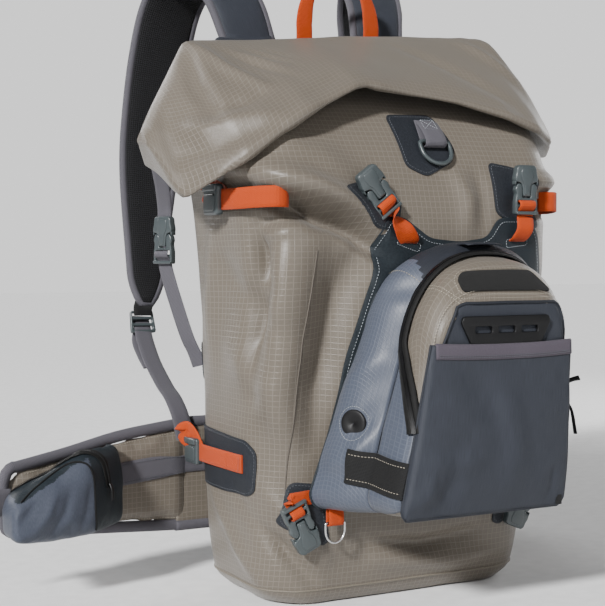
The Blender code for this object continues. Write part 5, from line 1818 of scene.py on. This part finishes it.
belt_piece("hip_web_stitch", sew("hip_web_stitch", WING, lines, (0, 1, 0), 0.0022, None, THREAD_DARK))
lower = [p + Vector((0, -0.3, 0.0085)) for p in spine[3:-3]]
upper = [p + Vector((0, -0.3, -0.0085)) for p in crest[3:-3]]
belt_piece("hip_edge_stitch", sew("hip_edge_stitch", WING, [lower, upper], (0, 1, 0), 0.0004, None,
                                  THREAD_KHAKI))


def pouch_ring(z, inset, slot, swell, count=128):
    """One level of the pouch: a full front, its right corner cut back at a slant."""
    deep, w = 0.046 * slot, 0.066 - inset
    cut = min(0.044, w * 0.68)
    line = rounded([(-w, 0.0), (w - cut, 0.0), (w, deep * 0.62), (w, deep), (-w, deep)],
                   min(0.008, deep * 0.3), 5)
    shift = 0.046 * (1 - slot) * 0.85
    ring = []
    for x, y in line:
        front = max(0.0, 1 - y / (deep * 0.5)) if x < w - cut + 0.004 else 0.0
        bulge = swell * front * math.cos(math.pi / 2 * min(1, abs(x + cut / 2) / (w - cut / 2)))
        drop = 0.036 * ease((0.021 - x) / 0.085) * (z - 0.066) / 0.082
        ring.append(Vector((-0.306 + x, 0.0278 + shift + y + 0.2 * x - bulge, z - drop)))
    return resample(ring, count, closed=True)


LEVELS = ((0.0668, 0.013, 0.84), (0.068, 0.006, 0.96), (0.074, 0.0015, 1.0), (0.09, 0.0, 1.0),
          (0.11, 0.0, 1.0),
          (0.122, 0.001, 0.99), (0.134, 0.003, 0.88), (0.143, 0.006, 0.68), (0.148, 0.012, 0.46))
levels = smooth_path(LEVELS, 5)
rings = [pouch_ring(p.x, max(0.0, p.y), p.z, 0.0035 * math.sin(math.pi * i / (len(levels) - 1)))
         for i, p in enumerate(levels)]
pouch_mesh = grid_mesh("pouch", [shrunk(rings[0], s) for s in (0.05, 0.5, 0.85)] + rings
                       + [shrunk(rings[-1], s) for s in (0.8, 0.4, 0.05)], closed=True, caps=True)
pouch_mesh = puff(pouch_mesh, 0.0032, 3.5, 0.004, smooth=2)
POUCH_FOLDS = mm((
    ([(-366, 12, 84), (-350, 14, 104), (-335, 16, 128)], 6, -3.4),
    ([(-352, 14, 76), (-336, 18, 94), (-324, 20, 120)], 5.5, 2.6),
    ([(-332, 18, 74), (-318, 20, 92), (-312, 22, 112)], 5, -2.4),
    ([(-300, 24, 74), (-292, 26, 92), (-290, 28, 112)], 5, -1.6),
    ([(-356, 12, 132), (-320, 18, 136), (-280, 26, 132)], 5, -1.8),
    ([(-262, 44, 80), (-256, 46, 100), (-250, 50, 118)], 5, -2.2),
))
crease(pouch_mesh, POUCH_FOLDS, wander=0.001, scale=45.0, seed=6.0)
planar_uv(pouch_mesh, (1, 0.2, 0), (0, 0.3, 1))
CORNER = -0.285


def pouch_colour(c, n):
    """Slate on the front face, dark teal round the corner, the top and the far side."""
    return 0 if c.x + (c.z - 0.1) * 0.1 < CORNER and n.z < 0.72 and n.y < 0.3 else 1


paint_faces(pouch_mesh, pouch_colour)
pouch = add("hip_pouch", pouch_mesh, (POUCH_CLOTH, TEAL))
POUCH = tree_of(pouch)
belt_piece("hip_pouch", pouch, "belt_pouch")
edge = [(CORNER + 0.002, 0.07), (CORNER, 0.09), (CORNER - 0.001, 0.115), (CORNER - 0.006, 0.134),
        (CORNER - 0.02, 0.1375), (-0.325, 0.1285), (-0.345, 0.1175), (-0.362, 0.106)]
edge = resample(smooth_path([(x, -0.2, z) for x, z in edge], 8), 90)
spots = dropped(POUCH, edge, (0, 1, 0), 0.0003)
belt_piece("pouch_piping", tube("pouch_piping", spots, 0.0011, LINING, None, across=(0, 1, 0), sides=6))
zip_line = smooth_path([(-0.334, 0.038, 0.16), (-0.308, 0.04, 0.16), (-0.284, 0.043, 0.158),
                        (-0.268, 0.0425, 0.15), (-0.26, 0.04, 0.138), (-0.257, 0.039, 0.126)], 10)
spots, normals = zip(*laid(POUCH, resample(zip_line, 70), (-0.45, 0.35, -0.82), 0.0006))
sides = [n.cross(heading(spots, i)) for i, n in enumerate(normals)]
belt_piece("pouch_zip", strap("pouch_zip", spots, sides, TAPE, None, 0.0105, 0.001))
beads = [(p + n * 0.0009, n) for p, n in zip(spots, normals)]
belt_piece("pouch_zip_teeth", add("pouch_zip_teeth", stitch_mesh("s", beads, pitch=0.0016, radius=0.0009),
                                  ZIP_BLACK))
tip = spots[-3] + normals[-3] * 0.002
pull = [tip, tip + Vector((0.001, -0.003, -0.006)), tip + Vector((0.001, -0.003, -0.016))]
belt_piece("pouch_pull", strap("pouch_pull", smooth_path(pull, 5), (0.7, 0.7, 0), ZIP_BLACK, None, 0.0046,
                               0.0018))

# webbing at the ends of the wings, and the belt's buckle
end = [Vector(p) for p in ((-0.36, 0.0655, 0.1), (-0.372, 0.065, 0.1), (-0.386, 0.064, 0.1),
                           (-0.398, 0.06, 0.1))]
belt_piece("hip_end", strap("hip_end", smooth_path(end, 6), (0, 0, 1), GREY_WEB, None, 0.025, 0.0016),
           "belt_end")


def folded(p, f):
    a = math.radians(f)
    dx, dy = p[0] - WING_PIVOT[0], p[1] - WING_PIVOT[1]
    q = Vector((WING_PIVOT[0] + dx * math.cos(a) - dy * math.sin(a),
                WING_PIVOT[1] + dx * math.sin(a) + dy * math.cos(a), p[2]))
    return q if f == 0 else Vector((-q.x, q.y, q.z))


for part, spot, f, body, node, s in ((CLIP, (-0.4215, 0.054, 0.1), 0, "belt_left", "belt_clip", -1),
                                     (SOCKET, (-0.427, 0.0525, 0.1), RIGHT_FOLD, "belt_right", "belt_socket",
                                      1)):
    mouth = folded(spot, f)
    ahead = (folded((-0.5, 0.0315, 0.1), f) - mouth).normalized() * s
    outward = ahead.cross(Vector((0, 0, 1)))
    buckle(node + "_shell", part, mouth, ahead, outward, body, node)

# ---------------------------------------------------------------- floor and light
floor_mesh = grid_mesh("floor", [[Vector((x, y, -0.0005)) for x in (-9, 9)] for y in (-9, 9)])
floor = add("floor", floor_mesh, moulded("floor_paper", (0.74, 0.74, 0.74), 0.9))


def light(name, kind, spot, target, energy, **settings):
    """A light at a spot, turned to a target."""
    data = bpy.data.lights.new(name, kind)
    data.energy = energy
    for key, value in settings.items():
        setattr(data, key, value)
    lamp = bpy.data.objects.new(name, data)
    lamp.location = spot
    lamp.rotation_euler = (Vector(target) - Vector(spot)).to_track_quat("-Z", "Y").to_euler()
    SCENE.collection.objects.link(lamp)


light("key", "SUN", (-1.66, -1.04, 1.15), (0, 0, 0), 6.4, angle=math.radians(7))
light("rear", "SUN", (-0.5, 1.6, 0.8), (0, 0, 0), 1.5, angle=math.radians(25))
light("fill", "AREA", (0.2, -1.8, 1.0), (0, 0, 0.3), 9, shape="DISK", size=1.2)
light("side", "AREA", (2.0, 0.6, 0.8), (0, 0, 0.3), 14, shape="DISK", size=1.2)
world = bpy.data.worlds.new("studio")
world.use_nodes = True
nodes, links = world.node_tree.nodes, world.node_tree.links
ambient, backdrop = nodes["Background"], nodes.new("ShaderNodeBackground")
for sky, strength in ((ambient, AMBIENT), (backdrop, BACKDROP)):
    sky.inputs["Color"].default_value = (1.0, 1.0, 1.0, 1.0)
    sky.inputs["Strength"].default_value = strength
choice = nodes.new("ShaderNodeMixShader")
links.new(nodes.new("ShaderNodeLightPath").outputs["Is Camera Ray"], choice.inputs["Fac"])
links.new(ambient.outputs[0], choice.inputs[1])
links.new(backdrop.outputs[0], choice.inputs[2])
links.new(choice.outputs[0], nodes["World Output"].inputs["Surface"])
SCENE.world = world
